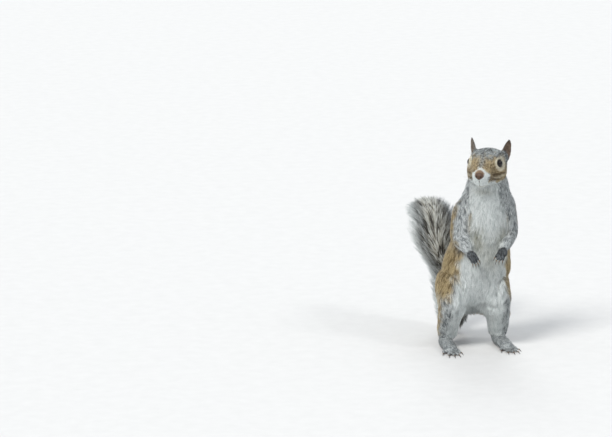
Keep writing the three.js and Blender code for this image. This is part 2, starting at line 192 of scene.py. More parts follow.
def kind(name):
    """A node's name without its side, and with all the tail as one."""
    return "tail" if name.startswith("tail") else name.replace("_right", "").replace("_left", "")


def claw_nodes(limb, side):
    return sorted(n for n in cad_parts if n.startswith(f"claw_{limb}_{side}"))


FLESH = [n for n in sorted(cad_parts) if kind(n) in COATS]
BODY = [n for n in FLESH if kind(n) != "tail"]
TAIL = [n for n in FLESH if kind(n) == "tail"]


# ---------------------------------------------------------------- surfaces


def tree_of(corners, faces):
    return BVHTree.FromPolygons(corners.tolist(), faces.tolist())


class Surface:
    """A closed surface of triangles that can even out values over itself."""

    def __init__(self, points, faces):
        self.faces = faces
        count = len(points)
        ends = np.sort(np.concatenate([faces[:, [0, 1]], faces[:, [1, 2]], faces[:, [2, 0]]]), axis=1)
        pairs = np.unique(ends[:, 0].astype(np.int64) * count + ends[:, 1])
        low, high = pairs // count, pairs % count
        start, end = np.concatenate([low, high]), np.concatenate([high, low])
        self.near = end[np.argsort(start, kind="stable")]
        self.degree = np.maximum(np.bincount(start, minlength=count), 1)[:, None]
        self.first = np.concatenate([[0], np.cumsum(self.degree[:, 0])[:-1]])
        self.move(points)

    def move(self, points):
        self.points = points
        self.normals = corner_normals(points, self.faces)

    def even(self, values, rounds, share=0.5):
        """The values, each drawn towards the mean of its neighbours, again and again."""
        for _ in range(rounds):
            mean = np.add.reduceat(values[self.near], self.first) / self.degree
            values = values + share * (mean - values)
        return values

    def tree(self):
        return tree_of(self.points, self.faces)


def put(name, data):
    """A new object in the scene."""
    ob = bpy.data.objects.new(name, data)
    bpy.context.scene.collection.objects.link(ob)
    return ob


def as_object(name, corners, faces):
    me = bpy.data.meshes.new(name)
    me.from_pydata((corners * MM).tolist(), [], faces.tolist())
    return put(name, me)


def applied(ob):
    """The object's mesh with its modifiers, as corners and triangles. The object is removed."""
    shown = ob.evaluated_get(bpy.context.evaluated_depsgraph_get())
    me = shown.to_mesh()
    me.calc_loop_triangles()
    corners = numbers(me.vertices, "co", 3) / MM
    faces = numbers(me.loop_triangles, "vertices", 3, np.int32)
    shown.to_mesh_clear()
    bpy.data.meshes.remove(ob.data)
    return corners, faces


def joined(parts):
    """Several meshes as one: corners and triangles."""
    offsets = np.cumsum([0] + [len(corners) for corners, _ in parts])
    corners = np.concatenate([corners for corners, _ in parts])
    faces = np.concatenate([faces + offset for (_, faces), offset in zip(parts, offsets)])
    return corners, faces


def tube_faces(count, sides, closed=False):
    """The triangles of a tube of rings. Its ends close on two last corners, or run into each other."""
    faces = []
    for i in range(count if closed else count - 1):
        low, high = i * sides, (i + 1) % count * sides
        for k in range(sides):
            after = (k + 1) % sides
            faces += [(low + k, low + after, high + after), (low + k, high + after, high + k)]
    if not closed:
        last, start = (count - 1) * sides, count * sides
        for k in range(sides):
            after = (k + 1) % sides
            faces += [(after, k, start), (last + k, last + after, start + 1)]
    return np.array(faces)


def merged(parts, cell):
    """One closed surface round closed parts that overlap."""
    ob = as_object("rough", *joined(parts))
    remesh = ob.modifiers.new("remesh", "REMESH")
    remesh.mode = "VOXEL"
    remesh.voxel_size = cell * MM
    return largest(*applied(ob))


def largest(corners, faces):
    """The biggest of the separate surfaces in a mesh."""
    label = np.arange(len(corners))
    while True:
        low = label[faces].min(1)
        for i in range(3):
            np.minimum.at(label, faces[:, i], low)
        label = label[label]
        if (label[faces] == label[faces[:, :1]]).all():
            break
    kept = label == np.bincount(label).argmax()
    place = np.cumsum(kept) - 1
    return corners[kept], place[faces[kept[faces[:, 0]]]]


def nearest_nodes(points):
    """For each point, which of the nodes of flesh it lies nearest to."""
    parts = [solid(n) for n in FLESH]
    owner = np.repeat(np.arange(len(FLESH)), [len(faces) for _, faces in parts])
    tree = tree_of(*joined(parts))
    return np.array([owner[tree.find_nearest(p)[2]] for p in points.tolist()])


# ---------------------------------------------------------------- the head's own frame

EYES = {side: centre(f"eye_{side}") for side in SIDES}
EYE_RADIUS = np.ptp(solid("eye_left")[0], axis=0).mean() / 2
BETWEEN_EYES = (EYES["left"] + EYES["right"]) / 2
LEFTWARD = unit(EYES["left"] - EYES["right"])
UPWARD = unit(np.array([0, 0, 1]) - LEFTWARD * LEFTWARD[2])
HEAD_AXES = np.array([LEFTWARD, np.cross(UPWARD, LEFTWARD), UPWARD])  # left, back, up


def in_head(points):
    return (points - BETWEEN_EYES) @ HEAD_AXES.T


def out_of_head(points):
    return points @ HEAD_AXES + BETWEEN_EYES


HEAD_CORNERS = in_head(solid("head")[0])
NOSE = HEAD_CORNERS[HEAD_CORNERS[:, 1].argmin()] * [0, 1, 1]
MOUTH_CORNER = NOSE[1] + 14.5  # how far back the lips part
PAD = NOSE + [0, 3.2, 1.0]  # the bare pad of the nose
PAD_SIZE = np.array([4.9, 3.2, 3.8])
EYE_TILT = 0.16  # the eyes look a little forward and up
LIDS_TURN = 0.26  # the openings face a little forward
LIDS = {  # half the length and height of each opening, and how far back and up its middle is
    "right": np.array([[4.1, 3.6], [0.5, 0.6]]),  # half shut against the sun
    "left": np.array([[4.7, 4.3], [0.0, 0.68]]),
}
LIDS_AXES = np.array([  # out of the opening, back along it, up
    [math.cos(LIDS_TURN), -math.sin(LIDS_TURN), 0],
    [math.sin(LIDS_TURN), math.cos(LIDS_TURN), 0],
    [0, 0, 1],
])


def mouth_height(y):
    """The height of the line between the lips, in the head's frame."""
    return NOSE[2] - 11.3 + 0.25 * np.maximum(y - NOSE[1] - 5, 0)


def eye_places(points):
    """For each side: the distance from the eye's middle, and 0 to 1 from its opening's middle to the lids."""
    for side, sign in SIDES.items():
        local = ((in_head(points) - in_head(EYES[side])) * [sign, 1, 1]) @ LIDS_AXES.T
        reach = size_of(local)
        size, middle_spot = LIDS[side]
        spot = (unit(local)[:, 1:] * EYE_RADIUS - middle_spot) / size
        ring = size_of(spot) + 1.2 * np.maximum(-local[:, 0], 0)
        ring = ring + 9 * step(1.5 * EYE_RADIUS, 2.3 * EYE_RADIUS, reach)
        yield side, SimpleNamespace(reach=reach, ring=ring)


# ---------------------------------------------------------------- the tail's route

TAIL_STEP = 2.0
TAIL_STEPS = 300  # at most
TAIL_RAYS = 32
TAIL_WIDEST, TAIL_DEEPEST = 46.0, 17.0  # half of each, so that no ray runs on into the curl
CORE_THICK, CORE_THIN = 5.0, 1.8
TIP_TUFT = 26.0  # the hair runs on this far past the end of the core
TAIL_WIDE = np.array([1, 0.15, 0])  # the way across the tail's width


def ring_ways(along):
    """Directions all round a section, from the tail's width towards its back."""
    wide = unit(TAIL_WIDE - along * (along @ TAIL_WIDE))
    deep = np.cross(along, wide)
    turn = round_turn(TAIL_RAYS)[:, None]
    return np.cos(turn) * wide + np.sin(turn) * deep


def section(tree, point, along):
    """How far the tail's outline stands from a point, in every direction, or None outside it."""
    hits = [tree.ray_cast(point, way)[3] for way in ring_ways(along).tolist()]
    turn = round_turn(TAIL_RAYS)
    most = 1 / np.hypot(np.cos(turn) / TAIL_WIDEST, np.sin(turn) / TAIL_DEEPEST)
    return None if None in hits else np.minimum(hits, most)


def middle(tree, point, along):
    """The middle of the section through a point."""
    reach = section(tree, point, along)
    if reach is None:
        return None
    shift = (ring_ways(along) * (reach**3)[:, None]).sum(0) * 2 / 3 / (reach**2).sum()
    return point + shift


def walk(tree, point, along):
    """The middles of the sections, one after another, up to where the tail ends."""
    route = [middle(tree, point, along)]
    while len(route) < TAIL_STEPS:
        found = middle(tree, route[-1] + along * TAIL_STEP, along)
        if found is None:
            return route
        found = middle(tree, found, along)
        if found is None:
            return route
        route.append(found)
        came = (route[-1] - route[max(len(route) - 4, 0)]) * [0, 1, 1]  # all its bends are upright
        along = unit(mixed(along, unit(came), 0.5))
    return route


def tail_route():
    """The tail's middle line from the rump to its end, and its outline all the way."""
    tree = tree_of(*merged([grown(n) for n in TAIL], TAIL_CELL))
    start, up = centre("tail_middle"), np.array([0.0, 0, 1])
    route = np.array(walk(tree, start, -up)[::-1] + walk(tree, start, up)[1:])
    for _ in range(ROUTE_ROUNDS):
        route[1:-1] = mixed(route[1:-1], (route[:-2] + route[2:]) / 2, 0.5)
    length = np.concatenate([[0], np.cumsum(size_of(np.diff(route, axis=0)))])
    even = np.arange(0, length[-1], TAIL_STEP)
    places = np.stack([np.interp(even, length, route[:, k]) for k in range(3)], 1)
    along = unit(np.gradient(places, axis=0))
    reach = [section(tree, p, d) for p, d in zip(places, along)]
    kept = [i for i, r in enumerate(reach) if r is not None]
    reach = np.array([reach[i] for i in kept])
    return SimpleNamespace(places=places[kept], along=along[kept], reach=reach)


def core_radius(share):
    return mixed(CORE_THICK, CORE_THIN, np.clip(share, 0, 1))


def tail_core(tail):
    """A thin closed tube along the route, rooted in the rump."""
    last = len(tail.places) - int(TIP_TUFT / TAIL_STEP)
    places, along = tail.places[:last], tail.along[:last]
    inside = centre("trunk") * [1, 1, 0] + [0, 0, places[0][2] + 8]
    anchor = mixed(places[0], inside, 0.35)
    places = np.concatenate([[anchor], places])
    along = np.concatenate([[unit(places[1] - anchor)], along])
    rings = []
    for i, (place, way) in enumerate(zip(places, along)):
        rings.append(place + ring_ways(way)[::2] * core_radius(i / len(places)))
    corners = np.concatenate([*rings, [places[0] - along[0], places[-1] + along[-1]]])
    return corners, tube_faces(len(places), TAIL_RAYS // 2)


# ---------------------------------------------------------------- the skin


FACE_REACH = (24, 9, 26)  # of the finer face: aside, back and down from between the eyes


def ball(middle_point, radius):
    """A closed ball of triangles."""
    bm = bmesh.new()
    bmesh.ops.create_icosphere(bm, subdivisions=3, radius=radius)
    corners = np.array([v.co for v in bm.verts]) + middle_point
    faces = np.array([[v.index for v in f.verts] for f in bm.faces])
    bm.free()
    return corners, faces


def finer_face(corners, faces):
    """Each face on the front of the head is cut in four."""
    ob = as_object("face", corners, faces)
    bm = bmesh.new()
    bm.from_mesh(ob.data)
    bpy.data.meshes.remove(ob.data)
    places = in_head(corners)
    aside, back, down = FACE_REACH
    front = (places[:, 1] < back) & (places[:, 2] > -down) & (np.abs(places[:, 0]) < aside)
    bm.verts.ensure_lookup_table()
    edges = [e for e in bm.edges if front[e.verts[0].index] and front[e.verts[1].index]]
    bmesh.ops.subdivide_edges(bm, edges=edges, cuts=1, use_grid_fill=True)
    bmesh.ops.triangulate(bm, faces=bm.faces[:])
    found = np.array([v.co for v in bm.verts]) / MM
    bm.verts.index_update()
    made = np.array([[v.index for v in f.verts] for f in bm.faces])
    bm.free()
    return found, made


def fewer(corners, faces, keep):
    """The surface with SKIN_FACES triangles, fewest where keep is 0."""
    ob = as_object("fewer", corners, faces)
    group = ob.vertex_groups.new(name="keep")
    for level in (0.25, 0.5, 0.75, 1.0):
        chosen = np.flatnonzero((keep > level - 0.25) & (keep <= level))
        group.add(chosen.tolist(), level, "REPLACE")
    decimate = ob.modifiers.new("fewer", "DECIMATE")
    decimate.ratio = min(SKIN_FACES / len(faces), 1)
    decimate.vertex_group = "keep"
    decimate.invert_vertex_group = True
    return applied(ob)


# How much of its roughness each part loses: the solids of the body have large facets.
SMOOTHING = {"ear": 0.12, "paw": 0.06, "foot": 0.14, "head": 0.3, "forearm": 0.3, "tail": 0.5}
# How much of its fineness each part keeps when the skin gets fewer triangles.
DETAIL = {"ear": 0.8, "paw": 1, "foot": 0.8, "head": 0.8, "forearm": 0.5}


def by_kind(labels, table, default):
    """A value for each point from its part of the body."""
    values = np.array([table.get(kind(n), default) for n in FLESH])
    return values[labels]


def plain_surface():
    """The solids as one smooth surface, with the tail as a thin core."""
    tail = tail_route()
    parts = [grown(n) for n in BODY]
    parts += [ball(EYES[side], EYE_RADIUS - 0.2) for side in SIDES]
    parts.append(tail_core(tail))
    rough = Surface(*merged(parts, CELL))
    labels = nearest_nodes(rough.points)
    share = rough.even(by_kind(labels, SMOOTHING, 0.75)[:, None], BLEND)
    corners = rough.even(rough.points, SMOOTH_ROUNDS, share)
    keep = rough.even(by_kind(labels, DETAIL, 0.1)[:, None], BLEND)[:, 0]
    corners, faces = fewer(corners, rough.faces, keep)
    corners, faces = finer_face(corners, faces)
    whole = Surface(corners, faces)
    whole.move(whole.even(corners, 2, 0.3))
    return whole, tail


KINDS = list(COATS)


def part_shares(surface, labels):
    """How far each point belongs to each kind of part, running smoothly from one into the next."""
    place = np.array([KINDS.index(kind(n)) for n in FLESH])
    return surface.even(np.eye(len(KINDS))[place[labels]], BLEND)


def share_of(shares, *kinds):
    """How far each point belongs to some kinds of part."""
    return sum(shares[:, KINDS.index(k)] for k in kinds)


def meeting(shares, first, second):
    """1 where two kinds of part meet, and 0 away from there."""
    return 4 * share_of(shares, first) * share_of(shares, second)


# How deep the skin folds in where two parts meet.
CREASES = (("upper_arm", "trunk", 2.6), ("forearm", "trunk", 1.5), ("thigh", "trunk", 2.6))
# The coat's depth, and its tufts' length, width and number, in special places.
MUZZLE_COAT = np.array([0.45, 1.5, 0.3, 6.5])
LIDS_COAT = np.array([0.35, 1.6, 0.28, 6.0])
EAR_CUP_COAT = np.array([1.3, 2.6])  # length and number alone
FINER_CHEST = np.array([-0.14, -0.22, 0.38])  # what its length, width and number gain there, as shares
LONGER_CHEEK = np.array([0.9, 2.2])  # what its depth and length gain there


def coat_sizes(surface, shares):
    """The coat's depth and its tufts' length, width and number at every point."""
    sizes = shares @ np.array([COATS[k] for k in KINDS])
    chest = share_of(shares, "trunk") * (1 - step(46, 58, body_angle(surface.points)))
    sizes[:, 1:] *= 1 + chest[:, None] * FINER_CHEST
    cup = sum(hollow_of_ear(surface, side) for side in SIDES)
    sizes[:, [1, 3]] = mixed(sizes[:, [1, 3]], EAR_CUP_COAT, cup[:, None])
    place = in_head(surface.points)
    muzzle = 1 - step(NOSE[1] + 6, NOSE[1] + 20, place[:, 1])
    sizes = mixed(sizes, MUZZLE_COAT, (muzzle * share_of(shares, "head"))[:, None])
    for _, eye in eye_places(surface.points):
        sizes = mixed(sizes, LIDS_COAT, (1 - step(1.3, 2.6, eye.ring))[:, None])
    cheek = bell(np.abs(place[:, 0]) - 17, 7) * bell(place[:, 1] - 9, 9) * bell(place[:, 2] + 11, 8)
    sizes[:, :2] += cheek[:, None] * LONGER_CHEEK
    sole = (surface.points[:, 2] < 2.5) & (surface.normals[:, 2] < -0.6)
    sizes[sole, 0] = 0
    return sizes


def sculpt_eyes(points):
    """The skin passes behind each eyeball in its opening and stands round it as lids."""
    for side, eye in eye_places(points):
        close = (eye.ring < 2.4) & (eye.reach < 3 * EYE_RADIUS)
        lid = EYE_RADIUS + mixed(-0.8, 0.12, step(0.88, 1.0, eye.ring))
        lid = lid + 0.45 * step(1.0, 1.4, eye.ring)
        wanted = mixed(lid, eye.reach, step(1.25, 2.1, eye.ring))
        moved = EYES[side] + unit(points - EYES[side]) * wanted[:, None]
        points = np.where(close[:, None], moved, points)
    return points


def pad_size(place):
    """Half sizes of the nose's pad, which narrows downwards."""
    narrow = 1 - 0.3 * step(PAD[2] + 0.5, PAD[2] - PAD_SIZE[2], place[:, 2])
    return PAD_SIZE * np.stack([narrow, np.ones(len(place)), np.ones(len(place))], 1)


def nostril_reach(place):
    """How far points lie from the middle of a comma-shaped nostril, which is 1 across."""
    x, z = np.abs(place[:, 0]) - 2.15, place[:, 2] - PAD[2] + 0.5
    return np.hypot((x - 0.5 * z) / 0.85, (z + 0.25 * x) / 1.05)


def sculpt_muzzle(points, head):
    """Nose pad, nostrils, the groove under the nose and the line between the lips."""
    place = in_head(points)
    front = place[:, 1] < NOSE[1] + 20

    offset = (place - PAD) / pad_size(place)
    size = size_of(offset)
    in_pad = front & (size < 1) & (place[:, 1] < PAD[1] + 0.6)
    place = np.where(in_pad[:, None], PAD + (place - PAD) / np.maximum(size, 0.3)[:, None], place)

    x, y, z = np.abs(place[:, 0]), place[:, 1], place[:, 2]
    nostril = bell(nostril_reach(place), 1) * (y < NOSE[1] + 6)
    crease = bell(x, 0.4) * step(PAD[2] + 1.2, PAD[2] - 0.6, z) * step(PAD[2] - 4, PAD[2] - 3, z)
    crease = crease * (y < PAD[1] + 1)
    lip = mouth_height(y)
    below_nose = step(PAD[2] - 2.4, PAD[2] - 3.4, z) * step(lip - 0.8, lip, z)
    groove = bell(x, 0.45) * below_nose * (y < NOSE[1] + 9)
    back = 1 - step(MOUTH_CORNER - 3, MOUTH_CORNER, y)
    mouth = bell(z - lip, 0.5) * back
    lips = bell(z - lip - 1.5, 1.1) * back * 0.3 + bell(z - lip + 1.6, 1.2) * back * 0.35
    outward = unit(place - [0, NOSE[1] + 12, NOSE[2] - 2])
    swell = lips - 0.85 * mouth - 0.6 * groove - 1.3 * nostril - 0.3 * crease
    place = place + outward * swell[:, None] * head[:, None]
    return out_of_head(place)


def ear_frame(side):
    """The ear's root, its way up, the way it opens, and its own outline."""
    corners = solid(f"ear_{side}")[0]
    origin = corners.mean(0)
    _, _, ways = np.linalg.svd(corners - origin, full_matrices=False)
    up = ways[0] * np.sign(ways[0][2])
    forward = -HEAD_AXES[1] + HEAD_AXES[0] * SIDES[side]
    opens = ways[2] * np.sign(ways[2] @ forward)
    wide = np.cross(up, opens)
    axes = np.array([wide, opens, up])
    local = (corners - origin) @ axes.T
    return SimpleNamespace(origin=origin, axes=axes, low=local.min(0), high=local.max(0))


EARS = {side: ear_frame(side) for side in SIDES}


def ear_places(points, side):
    """How far points are across the ear's width, -1 to 1, and up it, 0 to 1."""
    ear = EARS[side]
    local = (points - ear.origin) @ ear.axes.T
    height = (local[:, 2] - ear.low[2]) / (ear.high[2] - ear.low[2])
    outline = np.sqrt(np.clip(np.sin(math.pi * (0.3 + 0.68 * np.clip(height, 0, 1))), 0.06, 1))
    half = (ear.high[0] - ear.low[0]) / 2 * outline
    wide = (local[:, 0] - (ear.low[0] + ear.high[0]) / 2) / half
    return wide, height


def hollow_of_ear(surface, side):
    """1 inside an ear's cup, falling to 0 at its rim."""
    ear = surface.labels == FLESH.index(f"ear_{side}")
    wide, height = ear_places(surface.points, side)
    facing = step(-0.1, 0.5, surface.normals @ EARS[side].axes[1])
    cup = (1 - np.clip(np.abs(wide) / 0.85, 0, 1) ** 2) * step(0.05, 0.3, height)
    return cup * (1 - step(0.75, 0.98, height)) * facing * ear


def sculpt_ears(surface, points):
    """Each ear's front is hollowed, so that its rim stands round it."""
    for side in SIDES:
        points = points - EARS[side].axes[1] * 0.7 * hollow_of_ear(surface, side)[:, None]
    return points


def sculpt_digits(surface, points):
    """Grooves that part the fingers and toes, halfway between their claws."""
    for limb, end, reach in (("fore", "paw", 7.5), ("hind", "foot", 13.0)):
        for side in SIDES:
            mine = surface.labels == FLESH.index(f"{end}_{side}")
            claws = np.array([centre(n) for n in claw_nodes(limb, side)])
            back = unit(centre(f"{end}_{side}") - claws.mean(0)) * reach
            for first, second in zip(claws[:-1], claws[1:]):
                tip, aside = (first + second) / 2, unit(second - first)
                along = np.clip((points - tip) @ unit(back) / reach, 0, 1)
                off = points - tip - along[:, None] * back
                gap = np.abs(off @ aside)
                depth = 1.5 * bell(gap, 0.62) * (1 - along) ** 0.6 * mine
                points = points - surface.normals * depth[:, None]
    return points


def make_skin():
    """The skin under the coat, with all that the coat needs to know at every point of it."""
    whole, tail = plain_surface()
    labels = nearest_nodes(whole.points)
    shares = part_shares(whole, labels)
    whole.labels, whole.shares = labels, shares
    whole.sizes = coat_sizes(whole, shares)
    crease = sum(size * meeting(shares, a, b) for a, b, size in CREASES)
    inward = unit(whole.even(whole.normals, 3))
    points = whole.points - inward * (whole.sizes[:, 0] + crease)[:, None]
    points = sculpt_ears(whole, points)
    points = sculpt_digits(whole, points)
    points = sculpt_muzzle(points, share_of(shares, "head"))
    points = sculpt_eyes(points)
    points[:, 2] = np.maximum(points[:, 2], FLOOR_GAP)
    whole.move(points)
    return whole, tail


# ---------------------------------------------------------------- the markings

# Each kind of hair: its colour at the root, in the middle, at a pale tip and at a dark tip, and the
# share of its tufts that have dark tips.
PELTS = {
    "white": ((188, 194, 192), (210, 217, 215), (233, 238, 237), (192, 201, 200), 0.26),
    "grey": ((64, 66, 67), (116, 120, 120), (206, 211, 210), (46, 48, 50), 0.4),
    "silver": ((128, 134, 136), (172, 179, 181), (224, 230, 230), (100, 106, 110), 0.32),
    "tan": ((98, 84, 58), (149, 128, 88), (194, 176, 136), (92, 75, 49), 0.38),
    # this olive kind is painted shade, not a hair of its own: it is laid over the white hair in the armpits,
    # over the middle of the belly and under the chin
    "olive": ((98, 96, 76), (136, 135, 113), (188, 188, 172), (98, 94, 70), 0.4),
    "brown": ((66, 59, 50), (106, 96, 80), (170, 163, 146), (46, 41, 36), 0.42),
    "crown": ((56, 58, 59), (90, 94, 94), (180, 187, 186), (42, 44, 45), 0.45),
    "face": ((94, 79, 55), (145, 124, 89), (196, 180, 144), (74, 61, 43), 0.4),
    "streak": ((56, 46, 34), (86, 70, 48), (126, 106, 74), (48, 38, 28), 0.5),
    "bridge": ((98, 78, 60), (138, 114, 92), (176, 152, 128), (88, 69, 54), 0.4),
    "cream": ((180, 172, 146), (216, 210, 188), (238, 234, 218), (198, 188, 160), 0.2),
    "charcoal": ((36, 38, 40), (62, 65, 68), (128, 134, 137), (26, 27, 29), 0.5),
    "ear": ((74, 60, 50), (108, 90, 76), (148, 130, 114), (66, 54, 46), 0.4),
    "ear_back": ((92, 88, 82), (136, 132, 124), (172, 169, 161), (100, 95, 88), 0.35),
    "black": ((24, 22, 22), (34, 32, 31), (60, 57, 54), (18, 17, 17), 0.6),
}
PELT_NAMES = list(PELTS)
PELT_COLOURS = np.array([[colour(*c) for c in pelt[:4]] for pelt in PELTS.values()])  # pelt, layer, rgb
DARK_TIPS = np.array([pelt[4] for pelt in PELTS.values()])

BARE = {  # skin that shows
    "nose": colour(86, 65, 52),
    "nostril": colour(20, 12, 10),
    "mouth": colour(66, 28, 23),
    "rim": colour(26, 20, 18),
    "pad": colour(104, 84, 78),
}


def body_angle(points):
    """Degrees from the middle of the animal's front, round a line up through the trunk and neck."""
    low, high = centre("trunk"), centre("neck")
    share = ((points[:, 2] - low[2]) / (high[2] - low[2]))[:, None]
    offset = points - mixed(low, high, share)
    looking = math.degrees(math.atan2(HEAD_AXES[1][0], HEAD_AXES[1][1]))
    angle = np.degrees(np.arctan2(offset[:, 0], -offset[:, 1]))
    turn = angle + looking * step(150, 200, points[:, 2])
    return np.abs((turn + 180) % 360 - 180)


def leg_angle(surface):
    """Degrees from the front of a leg towards its outer side, by the way the skin faces."""
    outer = np.sign(surface.points[:, 0] - centre("trunk")[0])
    return np.degrees(np.arctan2(surface.normals[:, 0] * outer, -surface.normals[:, 1]))


def painted(count, **layers):
    """A mix of hair for each of count points, from the share of each kind."""
    weights = np.zeros((count, len(PELTS)))
    for name, weight in layers.items():
        weights[:, PELT_NAMES.index(name)] = weight
    return weights


def face_pelts(points):
    """The markings of the head."""
    place = in_head(points)
    x, y, z = np.abs(place[:, 0]), place[:, 1], place[:, 2]
    uneven = waves(points, 6, 31) * 1.2 + waves(points, 2.5, 32) * 0.7
    made = {name: np.zeros(len(x)) for name in PELTS}

    def lay(name, share):
        for other in made:
            made[other] = made[other] * (1 - share)
        made[name] = made[name] + share

    lay("face", np.ones(len(x)))
    middle_line = bell(x, 3.6) * step(-5, -1, z) * 0.75
    behind = step(4, 13, y + uneven) * step(-13, -3, z + uneven)
    lay("crown", np.maximum(np.maximum(step(1.5, 9, z + 1.5 * uneven), behind), middle_line))
    lay("grey", step(10, 18, y + uneven) * step(-8, -16, z + uneven) * 0.6)
    streak = bell(z + 10.5 - 0.12 * y + 0.4 * uneven, 2.0) * bell(y + 4, 9) * step(9, 12, x)
    lay("streak", 0.85 * streak)
    lay("streak", 0.75 * bell(z + 15.8 - 0.2 * y, 1.6) * bell(y + 6, 8) * step(9, 11, x))
    lay("cream", 0.55 * bell(z + 13.2 - 0.16 * y + 0.3 * uneven, 1.2) * bell(y + 3, 9) * step(9, 12, x))
    under = 1 - step(-20.5, -17.5, z + 0.1 * np.maximum(y, 0) + uneven)
    lay("white", under)
    # painted shade under the chin, in olive
    lay("olive", 0.6 * step(-25.5, -27.5, z) * (1 - step(-6, 6, y)))
    from_nose = size_of(place - NOSE)
    on_top = step(NOSE[2] + 2, NOSE[2] + 5, z)
    lay("white", 1 - step(mixed(13.0, 9.8, on_top), mixed(16.0, 12.4, on_top), from_nose + 0.8 * uneven))
    lay("cream", 0.5 * bell(z - mouth_height(y) + 2.5, 1.8) * (1 - step(-14, -8, y)))
    bridge = size_of((place - NOSE - [0, 2.5, 4.0]) / [5.8, 5.4, 4.6])
    lay("bridge", 1 - step(0.7, 1.15, bridge + 0.05 * uneven))
    near = {"right": 1.05, "left": 1.0}  # the ring is narrower round the eye that is half shut
    for side, eye in eye_places(points):
        lay("cream", 0.8 * step(1.85, 1.35, eye.ring * near[side] + 0.07 * uneven))
    return painted(len(x), **made)


def markings(surface):
    """How much of each kind of hair grows at every point."""
    points, shares = surface.points, surface.shares
    count = len(points)
    x, z = points[:, 0], points[:, 2]

    angle = body_angle(points) + waves(points, 15, 5) * 5 + waves(points, 6, 6) * 3
    white = 1 - step(44, 56, angle + 8 * step(140, 175, z))
    shoulder = step(146, 168, z + 6 * waves(points, 12, 7))
    backwards = step(88, 120, angle)
    side = 1 - white
    flank, high = side * (1 - shoulder), side * shoulder
    trunk = painted(count, white=white, tan=flank * (1 - backwards), brown=flank * backwards,
                    grey=high * mixed(0.45, 0.9, backwards), silver=high * mixed(0.55, 0.1, backwards))
    # Painted shade in olive over the white hair: in the armpits, over the middle of the belly and under the
    # chin.
    middle = x - centre("neck")[0] + 4
    shadow = 0.85 * bell(np.abs(middle) - 15, 7) * bell(z - 136, 14)
    shadow += 0.5 * bell(middle, 15) * bell(z - 116, 22)
    chin = in_head(points)
    shadow += 0.6 * bell(chin[:, 2] + 30, 3.5) * bell(chin[:, 1] + 3, 11) * bell(chin[:, 0], 13)
    shadow = (np.clip(shadow * (0.8 + 0.5 * waves(points, 4, 14)), 0, 1) * white)[:, None]
    trunk = mixed(trunk, painted(count, olive=1), shadow)
    leg = leg_angle(surface) + waves(points, 9, 8) * 9
    front = 1 - step(4, 26, leg)
    hip = step(60, 74, z + 4 * waves(points, 10, 10)) * step(18, 50, leg)
    rear = np.maximum(step(70, 105, leg), hip)
    outside = (1 - front) * (1 - rear)
    thigh = painted(count, white=front, silver=outside * 0.6, grey=outside * 0.4, tan=(1 - front) * rear)
    inward = -np.sign(x - centre("trunk")[0]) * surface.normals[:, 0]
    inner = step(0.25, 0.75, inward + 0.1 * waves(points, 5, 9))
    backward = 0.66 * surface.normals[:, 1] - 0.75 * inward
    outer = step(0.4, 0.8, backward + 0.12 * waves(points, 8, 15)) * step(120, 134, z) * (1 - inner)
    rest = 1 - inner - outer
    arm = painted(count, white=inner, tan=outer, silver=rest * 0.66, grey=rest * 0.34)
    toes = 0.5 * step(-78, -88, points[:, 1])
    foot = painted(count, silver=0.6 * (1 - toes), grey=0.4 * (1 - toes) + toes)
    ear = painted(count)
    for side in SIDES:
        _, height = ear_places(points, side)
        mine = surface.labels == FLESH.index(f"ear_{side}")
        inside = step(-0.1, 0.4, surface.normals @ EARS[side].axes[1])
        tip = step(0.84, 0.97, height)
        brown = inside * (0.55 if side == "right" else 1.0)
        made = painted(count, ear=brown * (1 - tip), ear_back=(1 - brown) * (1 - tip), black=tip)
        ear = np.where(mine[:, None], made, ear)
    ear = np.where(ear.sum(1)[:, None] > 0, ear, painted(count, grey=1))
    pelts = {
        ("trunk", "neck"): trunk,
        ("thigh", "shank"): thigh,
        ("upper_arm", "forearm"): arm,
        ("paw",): painted(count, charcoal=1),
        ("foot",): foot,
        ("ear",): ear,
        ("head",): face_pelts(points),
        ("tail",): painted(count, brown=1),
    }
    total = sum(share_of(shares, *kinds)[:, None] * pelt for kinds, pelt in pelts.items())
    return surface.even(total / total.sum(1, keepdims=True), 1)


def bareness(surface):
    """Where the skin is bare, and its colour there."""
    place = in_head(surface.points)
    x, y, z = np.abs(place[:, 0]), place[:, 1], place[:, 2]
    head = share_of(surface.shares, "head")
    pad = size_of((place - PAD) / pad_size(place) / 1.04)
    nose = step(1.12, 0.98, pad) * step(PAD[1] + 1.2, PAD[1] + 0.4, y)
    nostril = step(1.15, 0.75, nostril_reach(place)) * nose
    lip = mouth_height(y)
    back = 1 - step(MOUTH_CORNER - 3.5, MOUTH_CORNER - 0.5, y)
    mouth = step(0.65, 0.3, np.abs(z - lip)) * back
    groove = step(0.55, 0.25, x) * step(PAD[2] - 2.6, PAD[2] - 3.4, z) * step(lip - 0.5, lip, z)
    mouth = np.maximum(mouth, groove * (y < NOSE[1] + 9))
    rim = np.zeros(len(x))
    for _, eye in eye_places(surface.points):
        rim = np.maximum(rim, step(1.09, 1.01, eye.ring))
    sole = step(-0.45, -0.7, surface.normals[:, 2]) * (surface.points[:, 2] < 3)
    layers = {"nose": nose * head, "nostril": nostril * head, "mouth": mouth * head, "rim": rim, "pad": sole}
    bare = np.zeros(len(x))
    tint = np.zeros((len(x), 3))
    for name, weight in layers.items():
        tint = mixed(tint, BARE[name], weight[:, None])
        bare = np.maximum(bare, weight)
    return bare, tint


# ---------------------------------------------------------------- the lie of the coat


